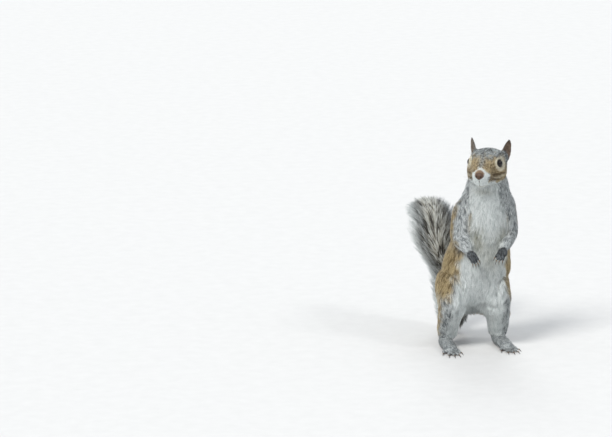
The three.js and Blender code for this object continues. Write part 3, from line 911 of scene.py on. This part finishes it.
def limb_ways():
    """The way the hair points on each node of the body."""
    ways = {n: np.array([0, 0.08, -1.0]) for n in FLESH}
    for side in SIDES:
        fingers, toes = (np.mean([centre(n) for n in claw_nodes(f, side)], axis=0) for f in ("fore", "hind"))
        arm, forearm, paw = (centre(f"{n}_{side}") for n in ("upper_arm", "forearm", "paw"))
        shank, foot = centre(f"shank_{side}"), centre(f"foot_{side}")
        ways[f"upper_arm_{side}"] = unit(forearm - arm) + [0, 0, -0.6]
        ways[f"forearm_{side}"] = paw - forearm
        ways[f"paw_{side}"] = fingers - paw
        ways[f"thigh_{side}"] = np.array([0, -0.15, -1.0])
        ways[f"shank_{side}"] = unit(foot - shank) * [0.3, 0.3, 1] + [0, 0.1, 0]
        ways[f"foot_{side}"] = toes - foot
        ways[f"ear_{side}"] = EARS[side].axes[2]
    return np.array([unit(ways[n]) for n in FLESH])


def lie(surface):
    """The way the hair points at every point of the skin."""
    ways = limb_ways()[surface.labels]
    place = in_head(surface.points)
    from_nose = unit(place - (NOSE + [0, 3.5, 0.5])) + [0, 0.55, 0]
    on_head = np.array([kind(n) == "head" for n in FLESH])[surface.labels]
    ways = np.where(on_head[:, None], unit(from_nose) @ HEAD_AXES, ways)
    for side, eye in eye_places(surface.points):
        away = across(surface.points - EYES[side], surface.normals)
        ways = ways + 1.1 * step(2.3, 1.2, eye.ring)[:, None] * away
    ways = surface.even(ways, LIE_ROUNDS)
    return across(ways, surface.normals)


def rooted(surface, number, rng):
    """Places spread over the skin, number of them to the square millimetre: triangle and weights."""
    a, b, c = (surface.points[surface.faces[:, i]] for i in range(3))
    area = size_of(np.cross(b - a, c - a)) / 2
    total = np.cumsum(area * number[surface.faces].mean(1))
    count = int(total[-1])
    at = (np.arange(count) + rng.random(count)) * total[-1] / count
    face = np.minimum(np.searchsorted(total, at), len(total) - 1)
    u, v = rng.random(count), rng.random(count)
    over = u + v > 1
    u, v = np.where(over, 1 - u, u), np.where(over, 1 - v, v)
    return face, np.stack([1 - u - v, u, v], 1)


def at_roots(surface, values, face, weights):
    corners = surface.faces[face]
    return sum(values[corners[:, i]] * weights[:, i : i + 1] for i in range(3))


def on_surface(tree, points, height):
    """The points, moved to stand at a height over the nearest skin."""
    found = [tree.find_nearest(p) for p in points.tolist()]
    place = np.array([f[0] for f in found])
    normal = np.array([f[1] for f in found])
    return place + normal * height[:, None]


def turned(ways, normals, angle):
    """Directions along the surface, turned in it."""
    sideways = np.cross(normals, ways)
    return ways * np.cos(angle)[:, None] + sideways * np.sin(angle)[:, None]


def lock_leaders(roots, rng, one_in):
    """For each tuft, the tuft near by that leads its lock."""
    leaders = np.flatnonzero(rng.random(len(roots)) < 1 / one_in)
    tree = KDTree(len(leaders))
    for i, place in enumerate(roots[leaders].tolist()):
        tree.insert(place, i)
    tree.balance()
    return leaders[[tree.find(p)[1] for p in roots.tolist()]]


def lock_tones(lead, rng):
    """A tone from 0 to 1 for every tuft, mostly its lock's own."""
    return ranked(rng.normal(0, 1, len(lead))[lead] + rng.normal(0, 0.55, len(lead)))


def tuft_colours(pelts, tone, rng):
    """Colours at the root, middle and tip of each tuft, from the mix of hair where it grows."""
    layers = np.einsum("np,plc->nlc", pelts, PELT_COLOURS)
    share = pelts @ DARK_TIPS
    dark = step(share + 0.07, share - 0.07, tone)[:, None]
    tip = mixed(layers[:, 2], layers[:, 3], dark)
    shade = np.exp(rng.normal(0, 0.07, (len(pelts), 1)))
    return [layers[:, 0] * shade, mixed(layers[:, 1], tip, 0.55) * shade, tip * shade]


# ---------------------------------------------------------------- tufts as meshes

PATCH = 0.003  # of each tuft on its piece's map


def tuft_faces(rings):
    """The triangles of one tuft: rings of three corners, and a point."""
    faces = [(0, 2, 1)]
    for ring in range(rings - 2):
        for k in range(3):
            a, b = 3 * ring + k, 3 * ring + (k + 1) % 3
            faces += [(a, b, b + 3), (a, b + 3, a + 3)]
    last, tip = 3 * (rings - 2), 3 * (rings - 1)
    faces += [(last + k, last + (k + 1) % 3, tip) for k in range(3)]
    return np.array(faces)


def tuft_map(rings):
    """Where each corner of each triangle of one tuft lies in its patch, 0 to 1 across and along it."""
    places = [((0, -0.2), (1, -0.2), (0.5, 0))]
    for ring in range(rings - 2):
        low, high = ring / (rings - 1), (ring + 1) / (rings - 1)
        for k in range(3):
            left, right = k / 3, (k + 1) / 3
            places += [((left, low), (right, low), (right, high)), ((left, low), (right, high), (left, high))]
    low = (rings - 2) / (rings - 1)
    places += [((k / 3, low), ((k + 1) / 3, low), ((k + 0.5) / 3, 1)) for k in range(3)]
    return np.array(places)


def tuft_mesh(name, rings, widths, normals, colours, spots, slot):
    """Many tufts as one mesh: rings are the places along each, from root to point."""
    count, levels = len(rings[0]), len(rings)
    corners, facing, shades = [], [], []
    for level in range(levels - 1):
        way = unit(rings[level + 1] - rings[max(level - 1, 0)])
        side = unit(np.cross(normals, way))
        up = np.cross(way, side)
        half = widths[level][:, None] / 2
        corners += [rings[level] + side * half, rings[level] + up * half * 0.8, rings[level] - side * half]
        facing += [unit(normals + side * 0.35), normals, unit(normals - side * 0.35)]
        shades += [colours[level]] * 3
    corners.append(rings[-1])
    facing.append(normals)
    shades.append(colours[-1])
    size = len(corners)
    points = np.stack(corners, 1).reshape(-1, 3)
    faces = (np.arange(count)[:, None, None] * size + tuft_faces(levels)).reshape(-1, 3)
    places = (spots[:, None, None] + PATCH * (tuft_map(levels) - 0.5)).reshape(-1, 2)
    shade = np.stack(shades, 1).reshape(-1, 3)
    piece = mesh_piece(name, points, faces, shade, FUR, slot, places)
    piece.data.normals_split_custom_set_from_vertices(np.stack(facing, 1).reshape(-1, 3).tolist())
    return piece


def mesh_piece(name, points, faces, shades, material, slot, places=None):
    """A smooth-shaded piece of the model, with its colours and its map."""
    points = np.clip(points, np.array(CAD_LOW) / MM + 0.01, np.array(CAD_HIGH) / MM - 0.01)
    me = bpy.data.meshes.new(name)
    me.vertices.add(len(points))
    me.vertices.foreach_set("co", (points * MM).ravel())
    me.loops.add(faces.size)
    me.loops.foreach_set("vertex_index", faces.ravel())
    me.polygons.add(len(faces))
    me.polygons.foreach_set("loop_start", np.arange(len(faces)) * 3)
    me.update(calc_edges=True)
    me.shade_smooth()
    if shades.shape[1] == 3:
        shades = np.hstack([shades, np.ones((len(shades), 1))])
    me.attributes.new("shade", "FLOAT_COLOR", "POINT").data.foreach_set("color", shades.ravel())
    if places is not None:
        me.uv_layers.new(name="OFBake").uv.foreach_set("vector", places.ravel())
    me.materials.append(material)
    ob = put(name, me)
    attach(ob, "root")
    return ob


def ranked(values):
    """Each value's rank, from 0 to 1, so that crowded places get more room."""
    return np.argsort(np.argsort(values, kind="stable"), kind="stable") / max(len(values), 1)


def unwrapped(roots, labels):
    """A place for each root on a map: every part has a strip, unrolled round its length and along it."""
    spots = np.zeros((len(roots), 2))
    left = 0.0
    for label in np.unique(labels):
        mine = labels == label
        offset = roots[mine] - roots[mine].mean(0)
        _, _, ways = np.linalg.svd(offset, full_matrices=False)
        round_it = np.arctan2(offset @ ways[1], offset @ ways[2])
        room = mine.mean()
        spots[mine, 0] = left + room * (0.02 + 0.96 * ranked(round_it))
        spots[mine, 1] = 0.01 + 0.98 * ranked(offset @ ways[0])
        left += room
    return spots


# ---------------------------------------------------------------- materials


def shaded_material(name, scale, variation, **values):
    """A material in the mesh's own colours, broken up by its noise."""
    made = new_material(name, scale, 3.0, **values)
    made.shade = add_node(made.tree, "ShaderNodeAttribute", attribute_name="shade")
    spread = add_node(made.tree, "ShaderNodeMapRange", To_Min=1 - variation, To_Max=1 + variation)
    scaled = add_node(made.tree, "ShaderNodeVectorMath", operation="SCALE")
    wire(made.tree, (made.noise.outputs["Fac"], spread.inputs["Value"]),
         (made.shade.outputs["Color"], scaled.inputs[0]),
         (spread.outputs["Result"], scaled.inputs["Scale"]),
         (scaled.outputs["Vector"], made.shader.inputs["Base Color"]))
    return made


def wire(tree, *pairs):
    for start, end in pairs:
        tree.links.new(start, end)


def add_node(tree, kind_name, **values):
    """A node with its settings and the values of its sockets."""
    node = tree.nodes.new(kind_name)
    for name, value in values.items():
        if hasattr(node, name):
            setattr(node, name, value)
        else:
            node.inputs[name.replace("_", " ")].default_value = value
    return node


def new_material(name, scale, detail, **values):
    """A material with its shader's even values, and fine noise laid through the model."""
    material = bpy.data.materials.new(name)
    material.use_nodes = True
    tree = material.node_tree
    shader = tree.nodes["Principled BSDF"]
    for socket, value in values.items():
        shader.inputs[socket.replace("_", " ")].default_value = value
    where = add_node(tree, "ShaderNodeTexCoord")
    noise = add_node(tree, "ShaderNodeTexNoise", Scale=scale, Detail=detail)
    wire(tree, (where.outputs["Object"], noise.inputs["Vector"]))
    return SimpleNamespace(material=material, tree=tree, shader=shader, where=where, noise=noise)


def bumped(made, height, strength, distance):
    bump = add_node(made.tree, "ShaderNodeBump", Strength=strength, Distance=distance)
    wire(made.tree, (height, bump.inputs["Height"]), (bump.outputs["Normal"], made.shader.inputs["Normal"]))
    return made.material


def skin_material():
    """Short hair as fine bump, and a moist nose where the mesh says so."""
    made = shaded_material("skin", 1500.0, 0.2, Roughness=0.6, Specular_IOR_Level=0.3)
    moist = add_node(made.tree, "ShaderNodeMapRange", To_Min=0.3, To_Max=0.68)
    pores = add_node(made.tree, "ShaderNodeTexVoronoi", Scale=2600.0)
    wire(made.tree, (made.shade.outputs["Alpha"], moist.inputs["Value"]),
         (moist.outputs["Result"], made.shader.inputs["Roughness"]),
         (made.where.outputs["Object"], pores.inputs["Vector"]))
    return bumped(made, pores.outputs["Distance"], 0.4, 0.0002)


def horn_material():
    made = shaded_material("horn", 900.0, 0.25, Roughness=0.35)
    return bumped(made, made.noise.outputs["Fac"], 0.2, 0.0001)


def floor_material():
    made = new_material("studio_floor", 60.0, 2.0, Roughness=0.85, Specular_IOR_Level=0.2)
    ramp = add_node(made.tree, "ShaderNodeValToRGB")
    for element, tone in zip(ramp.color_ramp.elements, ((0.66, 0.66, 0.65, 1), (0.72, 0.72, 0.71, 1))):
        element.color = tone
    wire(made.tree, (made.noise.outputs["Fac"], ramp.inputs["Fac"]),
         (ramp.outputs["Color"], made.shader.inputs["Base Color"]))
    return made.material


FUR = shaded_material(
    "fur", 1100.0, 0.16, Roughness=0.62, Specular_IOR_Level=0.22, Sheen_Weight=0.15).material
EYE = shaded_material(
    "eye", 500.0, 0.3, Roughness=0.08, Specular_IOR_Level=0.3, Coat_Weight=0.15).material
WHISKER = shaded_material("whisker", 300.0, 0.2, Roughness=0.4).material
SKIN = skin_material()
HORN = horn_material()


# ---------------------------------------------------------------- the coat of the body

LEADS = 7  # tufts to a lock
FACE_BACK = -1  # the face's hair grows ahead of this, in the head's frame
BELLY_ANGLE = 62  # the belly's hair grows within these degrees of the front


def coat_pieces(roots, labels):
    """For every piece of the coat, its name, its slot and which tufts are its own."""
    kinds = np.array([kind(n) for n in FLESH])[labels]
    head, trunk = kinds == "head", kinds == "trunk"
    ahead = in_head(roots)[:, 1] < FACE_BACK
    front = body_angle(roots) < BELLY_ANGLE
    yield "coat_face", "grizzled_coat", head & ahead
    yield "coat_crown", "grizzled_coat", head & ~ahead
    yield "coat_ears", "grizzled_coat", kinds == "ear"
    yield "coat_neck", "grizzled_coat", kinds == "neck"
    yield "coat_belly", "pale_coat", trunk & front
    yield "coat_back", "grizzled_coat", trunk & ~front
    yield "coat_arms", "grizzled_coat", (kinds == "upper_arm") | (kinds == "forearm")
    yield "coat_paws", "dark_paw", kinds == "paw"
    yield "coat_thighs", "grizzled_coat", kinds == "thigh"
    yield "coat_shanks", "pale_coat", kinds == "shank"
    yield "coat_feet", "pale_coat", kinds == "foot"


def grow_coat(surface, pelts, bare):
    """Tufts over the whole body, lying along it, out to the surface of the solids."""
    rng = np.random.default_rng(11)
    face, weights = rooted(surface, surface.sizes[:, 3] * (1 - bare), rng)
    fields = (surface.points, surface.normals, lie(surface), surface.sizes[:, :3], surface.shares, pelts)
    roots, normals, ways, sizes, shares, hair = (at_roots(surface, f, face, weights) for f in fields)
    normals, ways = unit(normals), unit(ways)
    labels = surface.labels[surface.faces[face, 0]]
    depth, length, width = sizes.T
    count = len(roots)
    shag = hair[:, PELT_NAMES.index("white")] * share_of(shares, "trunk", "neck")
    big = share_of(shares, "trunk", "thigh", "neck")
    angle = 0.16 * waves(roots, 18, 21) + shag * 0.16 * waves(roots, 11, 22)
    angle += rng.normal(0, 0.12, count)
    ways = turned(ways, normals, angle)
    length = length * rng.uniform(0.7, 1.2, count)
    lift = depth * rng.uniform(0.4, 1.0, count)
    half_way = roots + ways * (length * 0.45)[:, None]
    tree = surface.tree()
    middles = on_surface(tree, half_way, lift * 0.7)
    ways = turned(ways, normals, shag * 0.22 * waves(roots, 6, 23))
    ends = roots + ways * length[:, None]
    tips = on_surface(tree, ends, lift * rng.uniform(0.85, 1.05, count))

    # On a thin ear the nearest skin may be the other side, so there the tufts stand over their own roots.
    thin = (share_of(shares, "ear") > 0.5)[:, None]
    middles = np.where(thin, half_way + normals * (lift * 0.7)[:, None], middles)
    tips = np.where(thin, ends + normals * lift[:, None], tips)
    # Under the trunk they hang.
    hang = (share_of(shares, "trunk") * step(-0.4, -0.8, normals[:, 2]))[:, None]
    tips = mixed(tips, roots + (0.35 * ways + normals) * (0.75 * length)[:, None], hang)

    lead = lock_leaders(roots, rng, LEADS)
    pull = (0.2 + 0.12 * big + 0.1 * shag)[:, None]
    middles = mixed(middles, middles[lead], pull * 0.4)
    tips = mixed(tips, tips[lead], pull)
    colours = tuft_colours(hair, lock_tones(lead, rng), rng)
    under = roots - normals * 0.2
    for name, slot, mine in coat_pieces(roots, labels):
        rings = [under[mine], middles[mine], tips[mine]]
        widths = [width[mine], width[mine] * 0.85]
        spots = unwrapped(roots[mine], labels[mine])
        tuft_mesh(name, rings, widths, normals[mine], [c[mine] for c in colours], spots, slot)


# ---------------------------------------------------------------- the tail's hair

TAIL_HAIRS = 26000
TAIL_LEADS = 9  # hairs to a lock
HAIR_LEAN = 0.95  # how far along the tail a hair runs for each millimetre outwards


def between(table, place):
    """Values of a table with one row per step, at places between its rows."""
    low = np.clip(np.floor(place).astype(int), 0, len(table) - 2)
    share = np.clip(place - low, 0, 1).reshape((-1,) + (1,) * (table.ndim - 1))
    return mixed(table[low], table[low + 1], share)


def tail_colours(sideways, tone):
    """Brown-grey along the middle, a black band, and a silver fringe."""
    dark, middle_tone, pale = colour(58, 54, 48), colour(122, 116, 102), colour(190, 188, 176)
    x, tone = sideways[:, None], tone[:, None]
    grizzle = mixed(mixed(dark, middle_tone, step(0.2, 0.42, tone)), pale, step(0.55, 0.75, tone))
    black = colour(28, 27, 27) * (0.8 + 0.5 * tone)
    silver = colour(224, 230, 230) * (0.72 + 0.3 * tone)
    return mixed(mixed(grizzle, black, step(0.34, 0.46, x)), silver, step(0.56, 0.7, x))


def grow_tail(tail):
    """Long hair from the core out to the tail's outline, leaning towards its tip."""
    rng = np.random.default_rng(12)
    steps, rays = tail.reach.shape

    # Each hair's tip: how far along the tail and which way round, with more of them where it is wide.
    weight = np.repeat(tail.reach.mean(1), rays).reshape(steps, rays) + 0.7 * tail.reach
    total = np.cumsum(weight.ravel())
    at = (np.arange(TAIL_HAIRS) + rng.random(TAIL_HAIRS)) * total[-1] / TAIL_HAIRS
    cell = np.minimum(np.searchsorted(total, at), total.size - 1)
    end = cell // rays + rng.random(TAIL_HAIRS)
    ray = cell % rays + rng.random(TAIL_HAIRS) - 0.5
    turn = 2 * math.pi * ray / rays
    reach = between(tail.reach, end)
    nearest = np.rint(ray).astype(int) % rays  # the outline is read ray by ray
    reach = reach[np.arange(TAIL_HAIRS), nearest]
    share = 1 - 0.5 * rng.random(TAIL_HAIRS) ** 2

    # Its root, nearer the rump by how far the hair leans.
    ways = np.array([ring_ways(d)[[0, rays // 4]] for d in tail.along])
    last = steps - int(TIP_TUFT / TAIL_STEP) - 1
    start = np.clip(end - HAIR_LEAN * reach * share / TAIL_STEP * rng.uniform(0.8, 1.2, TAIL_HAIRS), 0, last)

    def out_at(place):
        both = between(ways, place)
        return np.cos(turn)[:, None] * both[:, 0] + np.sin(turn)[:, None] * both[:, 1]

    def middle_at(place):
        return between(tail.places, place)

    root = middle_at(start) + out_at(start) * core_radius(start / last)[:, None] * 0.8
    tip = middle_at(end) + out_at(end) * (reach * share)[:, None]
    wave = waves(tip, 14, 41) * 1.4
    bend_out = out_at(mixed(start, end, 0.3)) * (reach * share * 0.62)[:, None]
    bend = middle_at(mixed(start, end, 0.38)) + bend_out
    tip = tip + unit(np.cross(tip - root, out_at(end))) * wave[:, None]

    def along_hair(v):
        return root * (1 - v) ** 2 + bend * 2 * v * (1 - v) + tip * v**2

    # The hair bows outwards, and hairs near each other draw together into locks.
    rings = [along_hair(v) for v in (0.0, 0.45, 0.7, 1.0)]
    lead = lock_leaders(tip, rng, TAIL_LEADS)
    for level, pull in ((1, 0.15), (2, 0.35), (3, 0.55)):
        rings[level] = mixed(rings[level], rings[level][lead], pull)
    tone = lock_tones(lead, rng)
    stray = rng.normal(0, 0.035, TAIL_HAIRS)
    wide = between(ways[:, 0], end)
    half = np.maximum(between(tail.reach[:, [0, rays // 2]].mean(1), end), 8)

    # Its colours, by how far from the tail's middle line each of its rings lies.
    colours = []
    for place in rings:
        offset = np.abs(((place - middle_at(end)) * wide).sum(1)) / half
        colours.append(tail_colours(offset + stray, tone))
    colours[0] = colours[0] * 0.75
    outer = (0.85 * step(0.75, 0.92, share) * step(0.1, 0.5, tone))[:, None]
    colours[3] = mixed(colours[3], colour(218, 223, 221), outer)
    colours[2] = mixed(colours[2], colour(206, 211, 208), outer * 0.35)
    width = np.where(share > 0.85, 0.5, 0.62) * rng.uniform(0.75, 1.2, TAIL_HAIRS)
    widths = [width * 0.8, width, width * 0.8]
    normals = out_at(end)
    part = np.minimum((end / steps * 3).astype(int), 2)
    for number, name in enumerate(("coat_tail_root", "coat_tail_middle", "coat_tail_tip")):
        mine = part == number
        spots = np.stack([0.01 + 0.98 * ranked(turn[mine]), 0.01 + 0.98 * ranked(end[mine])], 1)
        tuft_mesh(name, [r[mine] for r in rings], [w[mine] for w in widths], normals[mine],
                  [c[mine] for c in colours], spots, "tail_coat")


# ---------------------------------------------------------------- eyes, claws and whiskers


def tube(path, radii, sides, closed=False):
    """A round tube along a path, shut at its ends unless it runs on into itself."""
    ways = unit(np.gradient(path, axis=0))
    if closed:
        ways = unit(np.roll(path, -1, axis=0) - np.roll(path, 1, axis=0))
    aside = unit(np.cross(ways, [0.21, 0.35, 0.91]))  # a way that no tube here runs
    up = np.cross(ways, aside)
    turn = round_turn(sides)[None, :, None]
    ring = np.cos(turn) * aside[:, None] + np.sin(turn) * up[:, None]
    corners = (path[:, None] + ring * np.asarray(radii)[:, None, None]).reshape(-1, 3)
    if not closed:
        corners = np.concatenate([corners, path[:1], path[-1:]])
    return corners, tube_faces(len(path), sides, closed)


def eye_axes(side):
    """The way an eye looks, then back along the head, then up."""
    out = HEAD_AXES[0] * SIDES[side]
    looks = unit(out - HEAD_AXES[1] * EYE_TILT + HEAD_AXES[2] * EYE_TILT * 0.8)
    up = unit(HEAD_AXES[2] - looks * (HEAD_AXES[2] @ looks))
    return looks, np.cross(up, looks), up


def make_eye(side):
    """An eyeball with a raised cornea over a dark iris."""
    rows, columns = 40, 56
    looks, across_it, up = eye_axes(side)
    fall = math.pi * (np.arange(rows) + 0.02) / (rows - 0.96)
    turn = round_turn(columns)[:, None]
    radius = EYE_RADIUS - 0.12 + 0.3 * bell(fall, 0.75)
    path = looks * (np.cos(fall) * radius)[:, None]
    ring = np.cos(turn) * across_it + np.sin(turn) * up
    corners = path[:, None] + ring * (np.sin(fall) * radius)[:, None, None]
    corners = corners.reshape(-1, 3) + EYES[side]
    base = (rows - 1) * columns
    faces = tube_faces(rows, columns)[: 2 * base, ::-1]
    fan = [(0, k + 1, k) for k in range(1, columns - 1)]
    fan += [(base, base + k, base + k + 1) for k in range(1, columns - 1)]
    pupil, iris = colour(5, 5, 5), colour(17, 12, 9)
    shade = mixed(pupil, iris, step(0.42, 0.5, fall)[:, None])
    shade = mixed(shade, pupil, step(0.95, 1.1, fall)[:, None])
    shades = np.repeat(shade, columns, axis=0)
    eye = mesh_piece(f"eyeball_{side}", corners, np.concatenate([faces, fan]), shades, EYE, "eye")
    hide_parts(f"eye_{side}")


def make_lids():
    """The dark margin of the lids round each eye."""
    parts = []
    for side, sign in SIDES.items():
        turn = round_turn(64)
        back = np.cos(turn)
        corner = bell(back + 1, 0.12)
        size, middle_spot = LIDS[side]
        y = (size[0] + 0.25 * corner) * back + middle_spot[0]
        z = size[1] * np.sin(turn) + middle_spot[1] - 0.3 * corner
        x = np.sqrt(np.maximum(EYE_RADIUS**2 - y**2 - z**2, 0.5))
        local = unit(np.stack([x, y, z], 1) @ LIDS_AXES) * [sign, 1, 1] * (EYE_RADIUS + 0.04)
        path = EYES[side] + local @ HEAD_AXES
        parts.append(tube(path, 0.22 + 0.08 * bell(np.sin(turn) - 1, 0.6), 8, closed=True))
    corners, faces = joined(parts)
    mesh_piece("eyelids", corners, faces, np.tile(BARE["rim"], (len(corners), 1)), SKIN, "grizzled_coat")


CLAW_SIDES = 10


def make_claws(limb, side, end, bow):
    """The claws of one paw or foot, each a curved and pointed horn."""
    nodes = claw_nodes(limb, side)
    parts, shades = [], []
    v = np.linspace(0, 1, 9)[:, None]
    tone = mixed(colour(120, 104, 88), colour(34, 29, 26), step(0.1, 0.65, v))
    for node in nodes:
        corners = solid(node)[0]
        away = size_of(corners - centre(f"{end}_{side}"))
        tip = corners[away.argmax()]
        from_tip = size_of(corners - tip)
        base = corners[from_tip > 0.8 * from_tip.max()].mean(0)
        base = base + (base - tip) * 0.25  # rooted under the hair
        path = base * (1 - v) ** 2 + ((base + tip) / 2 + bow) * 2 * v * (1 - v) + tip * v**2
        parts.append(tube(path, mixed(0.82, 0.09, v[:, 0] ** 0.9), CLAW_SIDES))
        shades.append(np.concatenate([np.repeat(tone, CLAW_SIDES, axis=0), tone[:1], tone[-1:]]))
    piece = mesh_piece(f"claws_{limb}_{side}", *joined(parts), np.concatenate(shades), HORN, "claw")
    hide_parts(*nodes)


WHISKERS = 9  # on each side of the muzzle


def make_whiskers(surface):
    """Long tapering whiskers on the muzzle, and a few over each eye."""
    rng = np.random.default_rng(14)
    tree = surface.tree()
    parts = []
    for sign in SIDES.values():
        starts = []
        for i in range(WHISKERS):
            row, column = i % 3, i // 3
            spot = NOSE + [sign * 9, 5.2 + 1.7 * column + 0.4 * row, -1.4 - 1.7 * row + 0.3 * column]
            way = np.array([sign * (1.0 - 0.08 * column), 0.5 + 0.16 * column, 0.12 - 0.22 * row])
            starts.append((spot, way, 15.0 + 2.6 * column))
        for i in range(3):
            spot = np.array([sign * (13 + i), -5.0 + 2 * i, 8.5])
            way = np.array([sign * 0.7, 0.3 + 0.2 * i, 0.9])
            starts.append((spot, way, 9.0))
        for spot, way, length in starts:
            root = np.array(tree.find_nearest(out_of_head(spot))[0])
            way = unit(unit(way + rng.normal(0, 0.07, 3)) @ HEAD_AXES)
            length *= rng.uniform(0.85, 1.1)
            v = np.linspace(0, 1, 9)[:, None]
            droop = HEAD_AXES[1] * 0.22 - HEAD_AXES[2] * 0.16
            path = root - way * 0.4 + way * v * length + droop * length * v**2
            parts.append(tube(path, mixed(0.12, 0.03, v[:, 0]), 5))
    corners, faces = joined(parts)
    shades = np.tile(colour(44, 36, 30), (len(corners), 1))
    mesh_piece("whiskers", corners, faces, shades, WHISKER, "grizzled_coat")


def show_skin(surface, pelts, bare, tint):
    """The skin as a piece, in the colours of the hair that grows on it."""
    under = pelts @ (PELT_COLOURS[:, 1] * 0.62 + PELT_COLOURS[:, 0] * 0.3)  # middle and root, in shade
    tone = mixed(under, tint, bare[:, None])
    place = in_head(surface.points)
    moist = bare * (place[:, 1] < NOSE[1] + 5) * (place[:, 2] > NOSE[2] - 5)
    shades = np.hstack([tone, 1 - moist[:, None]])
    skin = mesh_piece("skin", surface.points, surface.faces, shades, SKIN, "grizzled_coat")
    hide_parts(*FLESH)


# ---------------------------------------------------------------- the studio


def sun(name, azimuth, elevation, angle, power, tint=(1, 1, 1)):
    """A soft light from far off, so that the floor is lit evenly."""
    turn, rise = math.radians(azimuth), math.radians(elevation)
    way = Vector((math.sin(turn) * math.cos(rise), -math.cos(turn) * math.cos(rise), math.sin(rise)))
    light = bpy.data.lights.new(name, "SUN")
    light.angle, light.energy, light.color = math.radians(angle), power, tint
    put(name, light).rotation_euler = way.to_track_quat("Z", "Y").to_euler()


FLOOR_HALF = 20.0  # metres, so that no edge shows


def make_studio():
    floor = bpy.data.meshes.new("studio_floor")
    corners = [(x * FLOOR_HALF, y * FLOOR_HALF, 0) for x, y in ((-1, -1), (1, -1), (1, 1), (-1, 1))]
    floor.from_pydata(corners, [], [(0, 1, 2, 3)])
    floor.materials.append(floor_material())
    put("studio_floor", floor)
    world = bpy.data.worlds.new("studio")
    world.use_nodes = True
    world.node_tree.nodes["Background"].inputs["Color"].default_value = (0.9, 0.94, 1.0, 1)
    world.node_tree.nodes["Background"].inputs["Strength"].default_value = 0.62
    bpy.context.scene.world = world
    bpy.context.scene.view_settings.view_transform = "Standard"
    sun("key", -52, 46, 22, 2.3, (1, 0.98, 0.95))
    sun("fill", 42, 44, 12, 0.45)
    sun("rim", 165, 38, 30, 0.9, (0.95, 0.98, 1))


# Where the camera stands, seen from the animal, and how far it aims from the animal's middle.
CAMERA_AZIMUTH, CAMERA_ELEVATION = math.radians(-15), math.radians(12)
CAMERA_DISTANCE = 3.944  # metres
AIM_LEFT, AIM_ABOVE = 0.1770, 0.0184  # metres


def make_camera():
    """The camera stands where the animal is seen upright, at the right of the frame."""
    level = math.cos(CAMERA_ELEVATION)
    back = Vector((math.sin(CAMERA_AZIMUTH) * level, -math.cos(CAMERA_AZIMUTH) * level,
                   math.sin(CAMERA_ELEVATION)))
    right = Vector((math.cos(CAMERA_AZIMUTH), math.sin(CAMERA_AZIMUTH), 0))
    up = back.cross(right)
    camera = bpy.data.cameras.new("camera")
    camera.lens, camera.sensor_width = 200, 36
    camera.clip_end = 100
    ob = put("camera", camera)
    aim = (CAD_LOW + CAD_HIGH) / 2 - right * AIM_LEFT + up * AIM_ABOVE
    ob.location = aim + back * CAMERA_DISTANCE
    ob.rotation_euler = back.to_track_quat("Z", "Y").to_euler()
    bpy.context.scene.camera = ob


# ---------------------------------------------------------------- the animal

make_camera()
make_studio()
skin, tail = make_skin()
pelts = markings(skin)
bare, tint = bareness(skin)
show_skin(skin, pelts, bare, tint)
grow_coat(skin, pelts, bare)
grow_tail(tail)
for side in SIDES:
    make_eye(side)
    make_claws("fore", side, "paw", np.array([0, -0.5, 0]))
    make_claws("hind", side, "foot", np.array([0, 0, 0.6]))
make_lids()
make_whiskers(skin)
